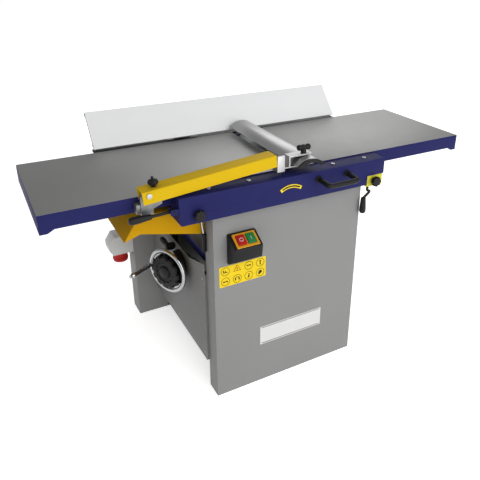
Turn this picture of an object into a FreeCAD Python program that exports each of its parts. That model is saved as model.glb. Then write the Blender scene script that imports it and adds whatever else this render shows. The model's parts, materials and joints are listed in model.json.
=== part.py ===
import FreeCAD, Part
import os
import re
import Sketcher

# Surface planer and thicknesser with fold-up tables, in millimetres.
# +X runs along the tables towards the infeed end, +Y to the back, +Z up.
# Lengths in Y are written from the tables' centre line. Every sub-part's own
# Placement then moves them so that the origin is the middle of the four floor
# anchors, at floor level.

doc = FreeCAD.newDocument("SurfacePlaner")
sheet = doc.addObject("Spreadsheet::Sheet", "Sizes")

SIZES = {
    # tables
    "table_top": 850.0,
    "outfeed_reach": 813.0,
    "infeed_reach": 813.0,
    "table_half": 228.0,
    "table_skin": 12.0,
    "rim_depth": 51.0,
    "rim_wall": 10.0,
    "end_drop": 62.0,
    "end_wall": 14.0,
    "rib_wall": 9.0,
    "rib_depth": 45.0,
    "infeed_drop": 4.0,
    "carrier_x": 335.0,
    "post_radius": 8.0,
    # cutterhead
    "cutter_x": 50.0,
    "knife_radius": 37.0,
    "cutter_radius": 35.0,
    "cutter_half": 197.0,
    "journal_radius": 10.0,
    "bearing_radius": 23.5,
    "bearing_wide": 14.0,
    "lip_gap": 4.0,
    "running_fit": 0.05,
    "clear_gap": 0.4,
    # front beam
    "beam_left": 421.0,
    "beam_right": 374.0,
    "beam_front": 297.0,
    "beam_top": 846.0,
    "beam_low": 753.0,
    "beam_wall": 6.0,
    "beam_relief": 1.5,
    "notch_left": 300.0,
    "notch_high": 787.0,
    "beam_corner": 9.0,
    # cabinet
    "cabinet_half": 300.0,
    "cabinet_front": 265.0,
    "front_return": 70.0,
    "rear_face": 464.0,
    "rear_depth": 91.0,
    "rear_half": 400.0,
    "rear_flange": 135.0,
    "rear_top": 700.0,
    "sheet_wall": 3.0,
    "cabinet_top": 740.0,
    "side_face": 306.0,
    "side_low": 120.0,
    "side_high": 490.0,
    "foot_flange": 45.0,
    "anchor_inset": 32.0,
    "anchor_radius": 6.5,
    "base_low": 124.0,
    "base_thick": 7.0,
    # head castings
    "casting_inner": 199.0,
    "casting_wall": 15.0,
    "casting_half": 282.0,
    "casting_foot": 9.0,
    "casting_high": 790.0,
    "shoulder_high": 815.0,
    "tower_high": 840.0,
    "tower_half": 36.0,
    # hinge at the back
    "hinge_y": 420.0,
    "hinge_z": 765.0,
    "hinge_pin_radius": 10.0,
    "hinge_eye": 22.0,
    "hinge_arm": 26.0,
    # feed rollers
    "roller_offset": 75.0,
    "roller_radius": 15.5,
    "roller_z": 790.0,
    "roller_shaft": 8.0,
    "sprocket_radius": 9.5,
    # belt drive
    "cutter_pulley": 30.0,
    "motor_pulley": 48.0,
    "pulley_low": 241.0,
    "pulley_wide": 24.0,
    "belt_thick": 5.0,
    "motor_z": 255.0,
    "motor_radius": 80.0,
    "motor_front": 46.0,
    "motor_back": 224.0,
    # thickness table and its lift
    "bed_top": 555.0,
    "bed_half_x": 285.0,
    "bed_half_y": 196.0,
    "bed_skin": 12.0,
    "column_x": 262.0,
    "column_y": 222.0,
    "column_radius": 13.0,
    "screw_radius": 15.0,
    "screw_top": 500.0,
    "spindle_x": 255.0,
    "spindle_radius": 9.0,
    "lift_sprocket": 34.0,
    "spindle_sprocket": 24.0,
    "chain_z": 150.0,
    "chain_thick": 5.0,
    # handwheel
    "wheel_x": 375.0,
    "wheel_y": 0.0,
    "wheel_z": 425.0,
    "wheel_turn": 27.0,
    "wheel_radius": 90.0,
    "rim_radius": 9.0,
    "hub_radius": 67.0,
    "wheel_shaft": 10.0,
    # fence
    "fence_pin_y": 246.0,
    "fence_pin_z": 855.6,
    "fence_pin_radius": 3.0,
    "fence_tall": 148.0,
    "fence_travel": 150.0,
    "fence_x": 200.0,
    "fence_thick": 8.0,
    "fence_left": 545.0,
    "fence_right": 520.0,
    "fence_lean": 41.0,
    # bridge guard
    "arm_pivot_x": 507.0,
    "arm_pivot_z": 871.0,
    "arm_y": 259.5,
    "arm_half": 27.5,
    "arm_long": 432.0,
    "arm_pitch": 5.4,
    "arm_wall": 3.0,
    "blade_x": 47.0,
    "blade_arc": 71.3,
    "blade_crown": 898.0,
    "blade_thick": 3.0,
    "blade_edge": 876.0,
    "blade_near": 300.0,
    "blade_far": 222.0,
    # knobs and levers
    "knob_radius": 19.0,
    "stud_radius": 5.0,
    "lever_y": 280.0,
    "lever_dip": -2.0,
    "switch_slope": 29.745,
}

DERIVED = {
    "origin_y": "(anchor_rear - anchor_front) / 2",
    "anchor_front": "cabinet_front - anchor_inset",
    "anchor_rear": "rear_face - anchor_inset",
    "rear_front": "rear_face - rear_depth",
    "cutter_z": "table_top - knife_radius",
    "outfeed_end": "cutter_x - knife_radius - lip_gap",
    "infeed_end": "cutter_x + knife_radius + lip_gap",
    "rim_low": "table_top - rim_depth",
    "casting_outer": "casting_inner + casting_wall",
    "bed_low": "bed_top - bed_skin",
    "base_top": "base_low + base_thick",
    "pulley_high": "pulley_low + pulley_wide",
    "belt_sine": "(motor_pulley - cutter_pulley) / (cutter_z - motor_z)",
    "spindle_y": "wheel_y + (wheel_x - spindle_x) * tan(wheel_turn * 1deg)",
    "lift_span": "sqrt(spindle_x ^ 2 + spindle_y ^ 2)",
    "lock_y": "100",
    "lock_z": "side_high - 22",
    "lift_sine": "(lift_sprocket - spindle_sprocket) / lift_span",
    "blade_axis_z": "blade_crown - blade_arc",
}

for row, (alias, value) in enumerate(SIZES.items(), start=1):
    sheet.set(f"A{row}", alias.replace("_", " "))
    sheet.set(f"B{row}", str(value))
    sheet.setAlias(f"B{row}", alias)
doc.recompute()

NODES = []
SPIN = {"x": ((0, 1, 0), 90), "y": ((1, 0, 0), -90), "z": ((0, 0, 1), 0)}


def formula(text):
    """Turn a size in plain words into an expression on the sheet."""
    def replace(match):
        word = match.group(0)
        if word in DERIVED:
            return "(" + formula(DERIVED[word]) + ")"
        return "Sizes." + word if word in SIZES else word
    return re.sub(r"[a-z][a-z_]*", replace, str(text))


def bind(thing, prop, text):
    thing.setExpression(prop, formula(text))


def block(x, y, z, name="Block"):
    """A box from its low and high faces along X, Y and Z."""
    box = doc.addObject("Part::Box", name)
    for prop, axis, (low, high) in (("Length", "x", x), ("Width", "y", y), ("Height", "z", z)):
        bind(box, prop, f"({high}) - ({low})")
        bind(box, f"Placement.Base.{axis}", low)
    return box


def rod(axis, centre, span, radius, name="Rod", top=None):
    """A cylinder, or a cone where top gives the far radius, along one axis."""
    kind = "Part::Cylinder" if top is None else "Part::Cone"
    thing = doc.addObject(kind, name)
    turn, angle = SPIN[axis]
    thing.Placement = FreeCAD.Placement(FreeCAD.Vector(), FreeCAD.Rotation(FreeCAD.Vector(*turn), angle))
    bind(thing, "Height", f"({span[1]}) - ({span[0]})")
    if top is None:
        bind(thing, "Radius", radius)
    else:
        bind(thing, "Radius1", radius)
        bind(thing, "Radius2", top)
    others = [letter for letter in "xyz" if letter != axis]
    bind(thing, f"Placement.Base.{axis}", span[0])
    for letter, value in zip(others, centre):
        bind(thing, f"Placement.Base.{letter}", value)
    return thing


def ring(axis, centre, span, inner, outer, name="Ring"):
    """A tube along one axis."""
    hole = (f"({span[0]}) - 1", f"({span[1]}) + 1")
    return carve(rod(axis, centre, span, outer), [rod(axis, centre, hole, inner)], name)


def torus(axis, centre, big, small, name="Torus"):
    thing = doc.addObject("Part::Torus", name)
    turn, angle = SPIN[axis]
    thing.Placement = FreeCAD.Placement(FreeCAD.Vector(), FreeCAD.Rotation(FreeCAD.Vector(*turn), angle))
    bind(thing, "Radius1", big)
    bind(thing, "Radius2", small)
    for letter, value in zip("xyz", centre):
        bind(thing, f"Placement.Base.{letter}", value)
    return thing


def join(pieces, name="Join"):
    thing = doc.addObject("Part::MultiFuse", name)
    thing.Shapes = pieces
    thing.Refine = True
    return thing


def carve(base, tools, name="Carve"):
    """The base with every tool cut away."""
    thing = doc.addObject("Part::Cut", name)
    thing.Base = base
    thing.Tool = tools[0] if len(tools) == 1 else join(tools)
    thing.Refine = True
    return thing


def overlap(pieces, name="Overlap"):
    thing = doc.addObject("Part::MultiCommon", name)
    thing.Shapes = pieces
    return thing


def group(pieces, name="Group"):
    """Separate solids kept side by side in one sub-part."""
    thing = doc.addObject("Part::Compound", name)
    thing.Links = pieces
    return thing


def prism(plane, outline, span, name="Prism", rounds=None):
    """A body padded from an outline on the XY, XZ or YZ plane, between two heights.

    rounds maps the number of a corner to the radius it is filleted with.
    """
    body = doc.addObject("PartDesign::Body", name)
    sketch = body.newObject("Sketcher::SketchObject", name + "Outline")
    base = [o for o in body.Origin.OriginFeatures if o.Role == plane + "_Plane"][0]
    sketch.AttachmentSupport = [(base, "")]
    sketch.MapMode = "FlatFace"
    count = len(outline)
    rough = [sheet_value(point) for point in outline]
    for index in range(count):
        start, end = rough[index], rough[(index + 1) % count]
        sketch.addGeometry(Part.LineSegment(FreeCAD.Vector(*start, 0), FreeCAD.Vector(*end, 0)), False)
    for index in range(count):
        sketch.addConstraint(Sketcher.Constraint("Coincident", index, 2, (index + 1) % count, 1))
    for index, point in enumerate(outline):
        for kind, value, text in zip(("DistanceX", "DistanceY"), rough[index], point):
            key = sketch.addConstraint(Sketcher.Constraint(kind, -1, 1, index, 1, value))
            bind(sketch, f"Constraints[{key}]", text)
    pad = body.newObject("PartDesign::Pad", name + "Pad")
    pad.Profile = sketch
    bind(pad, "Length", f"({span[1]}) - ({span[0]})")
    letter, start = {"XY": ("z", span[0]), "XZ": ("y", span[1]), "YZ": ("x", span[0])}[plane]
    if rounds:
        doc.recompute()
        first, second = {"XY": "xy", "XZ": "xz", "YZ": "yz"}[plane]
        last = pad
        for corner, radius in rounds.items():
            doc.recompute()
            want = rough[corner]
            names = []
            for number, edge in enumerate(last.Shape.Edges, start=1):
                ends = [vertex.Point for vertex in edge.Vertexes]
                if len(ends) == 2 and all(
                    abs(getattr(p, first) - want[0]) < 1e-4 and abs(getattr(p, second) - want[1]) < 1e-4
                    for p in ends
                ):
                    names.append(f"Edge{number}")
            fillet = body.newObject("PartDesign::Fillet", name + "Fillet")
            fillet.Base = (last, names)
            bind(fillet, "Radius", radius)
            last = fillet
    bind(body, f"Placement.Base.{letter}", start)
    return body


def sheet_value(point):
    """The numbers that a pair of sizes in words stand for now."""
    values = []
    for text in point:
        value = sheet.evalExpression(formula(text))
        values.append(float(getattr(value, "Value", value)))
    return values


def whole(thing):
    """Single primitives and bodies are wrapped, so that the sub-part's Placement is its own."""
    if thing.TypeId in ("Part::Box", "Part::Cylinder", "Part::Cone", "PartDesign::Body"):
        return group([thing])
    return thing


def node(label, thing):
    """Make an object a sub-part: its Label is its file's name, its Placement moves it to the origin."""
    thing = whole(thing)
    thing.Label = label
    bind(thing, "Placement.Base.y", "-origin_y")
    NODES.append(thing)
    return thing


def turned(thing, base, axis, angle):
    """A shape modelled about its own pivot, then turned by an angle and set at its place."""
    thing = whole(thing)
    thing.Placement = FreeCAD.Placement(FreeCAD.Vector(), FreeCAD.Rotation(FreeCAD.Vector(*axis), 10))
    for letter, value in zip("xyz", base):
        bind(thing, f"Placement.Base.{letter}", value)
    bind(thing, "Placement.Rotation.Angle", f"({angle}) * 1deg")
    return thing


def tilted_node(label, thing, base, axis, angle):
    """A sub-part modelled about its own pivot, then turned by an angle and set at its place."""
    thing = turned(thing, (base[0], f"({base[1]}) - origin_y", base[2]), axis, angle)
    thing.Label = label
    NODES.append(thing)
    return thing


def mirrored(sign, low, high):
    """A span on the positive side, or its mirror image on the negative side."""
    if sign > 0:
        return low, high
    return f"-({high})", f"-({low})"


# ---- cabinet ---------------------------------------------------------------

def make_front_shell():
    """Folded front panel with side returns, a top flange and a foot flange with two anchor holes."""
    depth = ("-cabinet_front", "-cabinet_front + front_return")
    outside = block(("-cabinet_half", "cabinet_half"), depth, ("0", "cabinet_top"))
    inside = block(("-cabinet_half + sheet_wall", "cabinet_half - sheet_wall"),
                   ("-cabinet_front + sheet_wall", "-cabinet_front + front_return + 1"),
                   ("sheet_wall * 1.5", "cabinet_top - sheet_wall * 2"))
    floor_cut = block(("-cabinet_half + sheet_wall", "cabinet_half - sheet_wall"),
                      ("-cabinet_front + foot_flange + 18", "-cabinet_front + front_return + 1"),
                      ("-1", "sheet_wall * 2"))
    holes = [rod("z", (x, "-anchor_front"), ("-1", "sheet_wall * 2"), "anchor_radius")
             for x in ("-cabinet_half + 60", "cabinet_half - 60")]
    posts = [rod("z", (x, "-column_y"), ("cabinet_top - 10", "cabinet_top + 1"), "column_radius + 0.5")
             for x in ("-column_x", "column_x")]
    node("front_shell", carve(outside, [inside, floor_cut] + holes + posts))


def make_rear_shell():
    """Wide folded rear column: back panel, side returns, inward flanges, lid and foot flange."""
    outside = block(("-rear_half", "rear_half"), ("rear_front", "rear_face"), ("0", "rear_top"))
    inside = block(("-rear_half + sheet_wall", "rear_half - sheet_wall"),
                   ("rear_front + sheet_wall", "rear_face - sheet_wall"),
                   ("sheet_wall * 1.5", "rear_top - sheet_wall * 2"))
    mouth = block(("-rear_half + rear_flange", "rear_half - rear_flange"),
                  ("rear_front - 1", "rear_front + sheet_wall + 1"),
                  ("sheet_wall * 1.5", "rear_top - sheet_wall * 2"))
    holes = [rod("z", (x, "anchor_rear"), ("-1", "sheet_wall * 2"), "anchor_radius")
             for x in ("-cabinet_half + 60", "cabinet_half - 60")]
    node("rear_shell", carve(outside, [inside, mouth] + holes))


def make_side_panels():
    """Inset side panels, cut low at the top so that boards pass through the cabinet."""
    front = "-cabinet_front + front_return"
    outline = [(front, "side_low"), ("rear_front", "side_low"), ("rear_front", "side_high"),
               ("-50", "side_high"), (front, "side_high + 45")]
    plate = prism("YZ", outline, ("-side_face - sheet_wall", "-side_face"), "LeftPanel")
    tab = block(("-side_face", "-cabinet_half + sheet_wall"), (front, f"({front}) + 14"),
                ("side_low", "side_high"))
    tab_back = block(("-side_face", "-cabinet_half + sheet_wall"), ("rear_front - 14", "rear_front"),
                     ("side_low", "side_high"))
    shaft_y = "wheel_y + (wheel_x - side_face) * tan(wheel_turn * 1deg)"
    hole = rod("x", (shaft_y, "wheel_z"), ("-side_face - 20", "-side_face + 20"), "wheel_shaft + 8")
    stud_hole = rod("x", ("lock_y", "lock_z"), ("-side_face - 20", "-side_face + 20"), "7 + running_fit")
    node("side_panel_left", carve(join([plate, tab, tab_back]), [hole, stud_hole]))
    right = prism("YZ", outline, ("side_face", "side_face + sheet_wall"), "RightPanel")
    tab = block(("cabinet_half - sheet_wall", "side_face"), (front, f"({front}) + 14"),
                ("side_low", "side_high"))
    tab_back = block(("cabinet_half - sheet_wall", "side_face"), ("rear_front - 14", "rear_front"),
                     ("side_low", "side_high"))
    node("side_panel_right", join([right, tab, tab_back]))


def make_base_plate():
    """Plate between the two shells that carries the columns, the screw and the motor."""
    plate = block(("-cabinet_half + sheet_wall", "cabinet_half - sheet_wall"),
                  ("-cabinet_front + sheet_wall", "rear_front"), ("base_low", "base_top"))
    holes = [rod("z", (x, y), ("base_low - 1", "base_top + 1"), "column_radius")
             for x in ("-column_x", "column_x") for y in ("-column_y", "column_y")]
    screw_hole = rod("z", ("0", "0"), ("base_low - 1", "base_top + 1"), "12 + running_fit")
    spindle_hole = rod("z", ("-spindle_x", "spindle_y"), ("base_low - 1", "base_top + 1"),
                       "spindle_radius + running_fit")
    corner_low = block(("-cabinet_half - rear_half", "-rear_half + rear_flange"), ("rear_front - 1", "rear_front + 1"),
                       ("base_low - 1", "base_top + 1"))
    node("base_plate", carve(plate, holes + [screw_hole, spindle_hole, corner_low]))


def make_columns():
    """Four ground guide columns, from the base plate to the castings."""
    columns = [rod("z", (x, y), ("base_low", "cabinet_top"), "column_radius")
               for x in ("-column_x", "column_x") for y in ("-column_y", "column_y")]
    node("guide_columns", group(columns))


def casting(sign, label):
    """One head casting: low beam, shoulders for the feed rollers and a tower for the bearing."""
    inner, outer = mirrored(sign, "casting_inner", "casting_outer")
    cut_in, cut_out = mirrored(sign, "casting_inner - 5", "casting_outer + 5")
    low = block(("-casting_half", "casting_half"), (inner, outer), ("cabinet_top", "casting_high"))
    shoulder = block(("cutter_x - roller_offset - 30", "cutter_x + roller_offset + 30"), (inner, outer),
                     ("casting_high - 5", "shoulder_high"))
    tower = block(("cutter_x - tower_half", "cutter_x + tower_half"), (inner, outer),
                  ("shoulder_high - 5", "tower_high"))
    if sign < 0:
        foot_span = ("-cabinet_front + 12", "-casting_inner")
    else:
        foot_span = ("casting_inner", "rear_front - 2")
    feet = []
    for side in (-1, 1):
        feet.append(block(mirrored(side, "column_x - 22", "casting_half"), foot_span,
                          ("cabinet_top", "cabinet_top + casting_foot")))
    pieces = [low, shoulder, tower] + feet
    if sign > 0:
        for side in (-1, 1):
            pieces.append(block(mirrored(side, "column_x - 22", "casting_half"),
                                ("rear_front - 22", "rear_front"), ("rear_top - 60", "cabinet_top + 2")))
    cuts = [rod("y", ("cutter_x", "cutter_z"), (cut_in, cut_out), "bearing_radius")]
    for side in ("-", "+"):
        cuts.append(rod("y", (f"cutter_x {side} roller_offset", "roller_z"), (cut_in, cut_out),
                        "roller_shaft + running_fit"))
    node(label, carve(join(pieces), cuts))


def make_bearings():
    rings = []
    for sign in (-1, 1):
        span = mirrored(sign, "casting_inner + 0.5", "casting_inner + 0.5 + bearing_wide")
        rings.append(ring("y", ("cutter_x", "cutter_z"), span, "journal_radius + running_fit", "bearing_radius"))
    node("cutter_bearings", group(rings))


def make_hinge_brackets():
    """Four pillars on the rear lid with round heads, and the two pins pressed into them."""
    pieces = []
    for x in ("-340", "-160", "170", "320"):
        span = (f"({x}) - 9", f"({x}) + 9")
        pillar = block(span, ("hinge_y - hinge_eye", "hinge_y + hinge_eye"), ("rear_top", "hinge_z"))
        eye = rod("x", ("hinge_y", "hinge_z"), span, "hinge_eye")
        pieces += [pillar, eye]
    pins = [rod("x", ("hinge_y", "hinge_z"), span, "hinge_pin_radius")
            for span in (("-362", "-138"), ("148", "342"))]
    node("hinge_brackets", join(pieces + pins))


# ---- drive -------------------------------------------------------------------

def make_motor():
    body = rod("y", ("cutter_x", "motor_z"), ("motor_front", "motor_back"), "motor_radius")
    fan_cover = rod("y", ("cutter_x", "motor_z"), ("motor_front - 2", "motor_front + 40"), "motor_radius + 3")
    feet = [block((f"cutter_x {side}", f"cutter_x {side} + 30"), ("motor_front + 30", "motor_back - 20"),
                  ("base_top", "motor_z - motor_radius + 25")) for side in ("- 75", "+ 45")]
    terminal = block(("cutter_x - 45", "cutter_x + 45"), ("motor_front + 60", "motor_back - 40"),
                     ("motor_z + motor_radius - 20", "motor_z + motor_radius + 18"))
    fins = [rod("y", ("cutter_x", "motor_z"), (f"motor_front + {50 + 12 * k}", f"motor_front + {54 + 12 * k}"),
                "motor_radius + 4") for k in range(9)]
    bore = rod("y", ("cutter_x", "motor_z"), ("motor_back - 30", "motor_back + 1"), "14 + running_fit")
    case = join([body, fan_cover, terminal] + fins)
    saddles = [carve(foot, [case]) for foot in feet]
    node("motor", group([carve(case, [bore])] + saddles))
    shaft = rod("y", ("cutter_x", "motor_z"), ("motor_back - 29", "pulley_high + 4"), "14")
    disc = rod("y", ("cutter_x", "motor_z"), ("pulley_low", "pulley_high"), "motor_pulley")
    flange = rod("y", ("cutter_x", "motor_z"), ("pulley_low - 3", "pulley_low"), "motor_pulley + 5")
    node("motor_pulley", join([shaft, disc, flange]))


def make_cutterhead():
    axis = ("cutter_x", "cutter_z")
    drum = rod("y", axis, ("-cutter_half", "cutter_half"), "cutter_radius")
    journal = rod("y", axis, ("-casting_inner - bearing_wide", "pulley_high + 6"), "journal_radius")
    slots = []
    knives = []
    for angle in (0, 120, 240):
        slot = block(("-6", "6"), ("-cutter_half - 1", "cutter_half + 1"), ("cutter_radius - 15", "cutter_radius + 5"))
        knife = block(("2.5", "5.5"), ("-cutter_half", "cutter_half"), ("cutter_radius - 14", "knife_radius - 0.2"))
        gib = block(("-5.9", "2.4"), ("-cutter_half + 2", "cutter_half - 2"),
                    ("cutter_radius - 14.8", "cutter_radius - 2.5"))
        for thing, keep in ((slot, slots), (knife, knives), (gib, knives)):
            holder = group([thing])
            spin = FreeCAD.Rotation(FreeCAD.Vector(0, 1, 0), angle)
            holder.Placement = FreeCAD.Placement(FreeCAD.Vector(), spin)
            bind(holder, "Placement.Base.x", "cutter_x")
            bind(holder, "Placement.Base.z", "cutter_z")
            keep.append(holder)
    node("cutterhead", carve(join([drum, journal]), slots))
    node("cutter_knives", group(knives))
    hub = ring("y", axis, ("pulley_low", "pulley_high"), "journal_radius", "cutter_pulley")
    flange = ring("y", axis, ("pulley_low - 3", "pulley_low"), "journal_radius", "cutter_pulley + 3.5")
    node("cutter_pulley", join([hub, flange]))


def loop(plane, centre_a, radius_a, centre_b, radius_b, sine, thick, span, name):
    """A belt or chain round two wheels: the outer hull less the inner one."""
    shells = []
    for extra, reach in ((f"clear_gap + {thick}", 0), ("clear_gap", 1)):
        low, high = f"({span[0]}) - {reach}", f"({span[1]}) + {reach}"
        outline = []
        order = ((1, centre_a, radius_a), (1, centre_b, radius_b), (-1, centre_b, radius_b), (-1, centre_a, radius_a))
        for side, centre, radius in order:
            grown = f"({radius} + {extra})"
            outline.append((f"{centre[0]} + {side} * {grown} * sqrt(1 - ({sine}) ^ 2)",
                            f"{centre[1]} + {grown} * ({sine})"))
        axis = {"XZ": "y", "XY": "z"}[plane]
        if plane == "XY":
            outline = [(along, across) for across, along in outline]
        sheet_body = prism(plane, outline, (low, high), name + "Hull")
        spots = [centre_a, centre_b] if plane == "XZ" else [centre_a[::-1], centre_b[::-1]]
        wheels = [rod(axis, spot, (low, high), f"{radius} + {extra}")
                  for spot, radius in zip(spots, (radius_a, radius_b))]
        shells.append(join([sheet_body] + wheels))
    return carve(shells[0], [shells[1]], name)


def make_belt():
    belt = loop("XZ", ("cutter_x", "cutter_z"), "cutter_pulley", ("cutter_x", "motor_z"), "motor_pulley",
                "belt_sine", "belt_thick", ("pulley_low + 1", "pulley_high - 1"), "Belt")
    node("drive_belt", belt)


def make_feed_rollers():
    for side, label in (("-", "outfeed_roller"), ("+", "infeed_roller")):
        axis = (f"cutter_x {side} roller_offset", "roller_z")
        drum = rod("y", axis, ("-cutter_half", "cutter_half"), "roller_radius")
        shaft = rod("y", axis, ("-casting_outer + 1", "table_half + 9.5"), "roller_shaft")
        sprocket = rod("y", axis, ("table_half + 3.5", "table_half + 8.5"), "sprocket_radius")
        node(label, join([drum, shaft, sprocket]))


def make_chains():
    """The feed chain behind the rear casting and the lift chain over the base plate."""
    span = ("table_half + 4", "table_half + 8")
    spots = [(f"cutter_x {side} roller_offset", "roller_z") for side in ("-", "+")]
    outside = [rod("y", spot, span, "sprocket_radius + clear_gap + 2") for spot in spots]
    cut_span = ("table_half + 3", "table_half + 9")
    inside = [rod("y", spot, cut_span, "sprocket_radius + clear_gap") for spot in spots]
    ends = ("cutter_x - roller_offset", "cutter_x + roller_offset")
    height = "sprocket_radius + clear_gap"
    outside.append(block(ends, span, (f"roller_z - ({height} + 2)", f"roller_z + ({height} + 2)")))
    inside.append(block(ends, cut_span, (f"roller_z - ({height})", f"roller_z + ({height})")))
    feed = carve(join(outside), inside)
    lift = loop("XY", ("0", "0"), "lift_sprocket", ("0", "-lift_span"), "spindle_sprocket",
                "lift_sine", "chain_thick", ("chain_z + 1", "chain_z + 7"), "LiftChain")
    lift = turned(lift, ("0", "0", "0"), (0, 0, -1), "atan(spindle_y / spindle_x) / 1deg")
    node("drive_chains", group([feed, lift]))


def make_kickback():
    shaft_x = "cutter_x + roller_offset + 42"
    span = ("-casting_inner", "casting_inner")
    node("kickback_shaft", rod("y", (shaft_x, "roller_z - 8"), span, "6"))
    fingers = []
    for k in range(16):
        low = f"-casting_inner + 7 + {24.6 * k:.1f}"
        outline = [(f"{shaft_x} - 12", "roller_z + 6"), (f"{shaft_x} + 12", "roller_z + 6"),
                   (f"{shaft_x} + 12", "roller_z - 22"), (f"{shaft_x} - 2", "roller_z - 30"),
                   (f"{shaft_x} - 12", "roller_z - 16")]
        finger = prism("XZ", outline, (low, f"{low} + 14"), f"Finger{k}")
        hole = rod("y", (shaft_x, "roller_z - 8"), (f"{low} - 1", f"{low} + 15"), "6 + running_fit")
        fingers.append(carve(finger, [hole]))
    node("kickback_fingers", group(fingers))


# ---- thickness table ------------------------------------------------------------

def make_thickness_table():
    plate = block(("-bed_half_x", "bed_half_x"), ("-bed_half_y", "bed_half_y"), ("bed_low", "bed_top"))
    pieces = [plate, rod("z", ("0", "0"), ("bed_low - 235", "bed_low + 1"), "36")]
    for sign in (-1, 1):
        pieces.append(block(("-bed_half_x + 20", "bed_half_x - 20"),
                            mirrored(sign, "bed_half_y - 40", "bed_half_y - 28"), ("bed_low - 45", "bed_low + 1")))
        outline = [("bed_half_y - 30", "bed_low + 1"), ("-bed_half_y + 30", "bed_low + 1"),
                   ("-bed_half_y + 60", "bed_low - 45"), ("bed_half_y - 60", "bed_low - 45")]
        span = mirrored(sign, "bed_half_x - 24", "bed_half_x - 12")
        pieces.append(prism("YZ", outline, span, "EndRib"))
    cuts = [rod("z", ("0", "0"), ("bed_low - 236", "bed_low - 4"), "screw_radius + 4")]
    for x in ("-column_x", "column_x"):
        for sign in (-1, 1):
            y = "column_y" if sign > 0 else "-column_y"
            pieces.append(rod("z", (x, y), ("bed_low - 70", "bed_low - 4"), "24"))
            pieces.append(block((f"{x} - 20", f"{x} + 20"), mirrored(sign, "bed_half_y - 34", "column_y - 14"),
                                ("bed_low - 60", "bed_low + 1")))
            cuts.append(rod("z", (x, y), ("bed_low - 71", "bed_low + 1"), "column_radius + running_fit"))
    cuts[0] = rod("z", ("0", "0"), ("bed_low - 196", "bed_low - 4"), "screw_radius + 4")
    cuts.append(rod("z", ("0", "0"), ("bed_low - 236", "bed_low - 190"), "screw_radius + running_fit"))
    node("thickness_table", carve(join(pieces), cuts))


def make_lift():
    """The elevating screw, the side spindle and the shaft that the handwheel turns."""
    screw = rod("z", ("0", "0"), ("chain_z + 8", "screw_top"), "screw_radius")
    foot = rod("z", ("0", "0"), ("base_low", "chain_z + 8"), "12")
    collar = rod("z", ("0", "0"), ("base_top + 0.3", "chain_z"), "20")
    wheel = rod("z", ("0", "0"), ("chain_z", "chain_z + 8"), "lift_sprocket")
    node("elevating_screw", join([screw, foot, collar, wheel]))
    spot = ("-spindle_x", "spindle_y")
    shaft = rod("z", spot, ("base_low", "wheel_z - 30"), "spindle_radius")
    small = rod("z", spot, ("chain_z", "chain_z + 8"), "spindle_sprocket")
    collar = rod("z", spot, ("base_top + 0.3", "chain_z"), "14")
    bevel = rod("z", spot, ("wheel_z - 30", "wheel_z - 14"), "30 - clear_gap * 2", top="14 - clear_gap * 2")
    node("side_spindle", join([shaft, small, collar, bevel]))
    reach = "(wheel_x - spindle_x) / cos(wheel_turn * 1deg)"
    shaft = rod("x", ("0", "0"), ("-11", f"({reach}) - 30"), "wheel_shaft")
    bevel = rod("x", ("0", "0"), (f"({reach}) - 30", f"({reach}) - 14"), "30 - clear_gap * 2",
                top="14 - clear_gap * 2")
    tilted_node("wheel_shaft", join([shaft, bevel]), ("-wheel_x", "wheel_y", "wheel_z"), (0, 0, 1), "wheel_turn")


def make_gearbox():
    """Stepped round boss on the left side panel, which the handwheel's shaft runs through."""
    boss = join([rod("x", ("0", "0"), ("22", "110"), "30"), rod("x", ("0", "0"), ("36", "110"), "52")])
    boss = carve(boss, [rod("x", ("0", "0"), ("20", "120"), "wheel_shaft + running_fit")])
    boss = turned(boss, ("-wheel_x", "wheel_y", "wheel_z"), (0, 0, 1), "wheel_turn")
    beyond = block(("-side_face - sheet_wall", "0"), ("-200", "300"), ("wheel_z - 80", "wheel_z + 80"))
    node("gearbox_housing", carve(boss, [beyond]))


def make_handwheel():
    """Chromed dished rim with three spokes, a black lobed hub plate and a turning handle."""
    rim = torus("x", ("0", "0", "0"), "wheel_radius - rim_radius", "rim_radius")
    hub = ring("x", ("0", "0"), ("-12", "18"), "wheel_shaft", "20")
    spokes = []
    for angle in (30, 150, 270):
        spoke = group([block(("-5", "5"), ("-8", "8"), ("15", "wheel_radius - rim_radius"))])
        spoke.Placement = FreeCAD.Placement(FreeCAD.Vector(), FreeCAD.Rotation(FreeCAD.Vector(1, 0, 0), angle))
        spokes.append(spoke)
    spot = ("wheel_radius - rim_radius", "0")
    pin = [rod("x", spot, ("-16", "0"), "rim_radius - 1"), rod("x", spot, ("-110", "4"), "4"),
           rod("x", spot, ("-113", "-110"), "7")]
    place = ("-wheel_x", "wheel_y", "wheel_z")
    tilted_node("handwheel", join([rim, hub] + spokes + pin), place, (0, 0, 1), "wheel_turn")
    disc = rod("x", ("0", "0"), ("-26", "-12"), "hub_radius - 8")
    lobes = []
    for k in range(12):
        lobe = group([rod("x", ("0", "hub_radius - 9"), ("-26", "-12"), "9")])
        turn = FreeCAD.Rotation(FreeCAD.Vector(1, 0, 0), 15 + 30 * k)
        lobe.Placement = FreeCAD.Placement(FreeCAD.Vector(), turn)
        lobes.append(lobe)
    tilted_node("handwheel_hub", join([disc] + lobes), place, (0, 0, 1), "wheel_turn")
    grip = rod("x", spot, ("-109", "-17"), "11", top="8")
    grip = carve(grip, [rod("x", spot, ("-112", "-10"), "4 + running_fit")])
    tilted_node("handwheel_grip", grip, place, (0, 0, 1), "wheel_turn")


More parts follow.
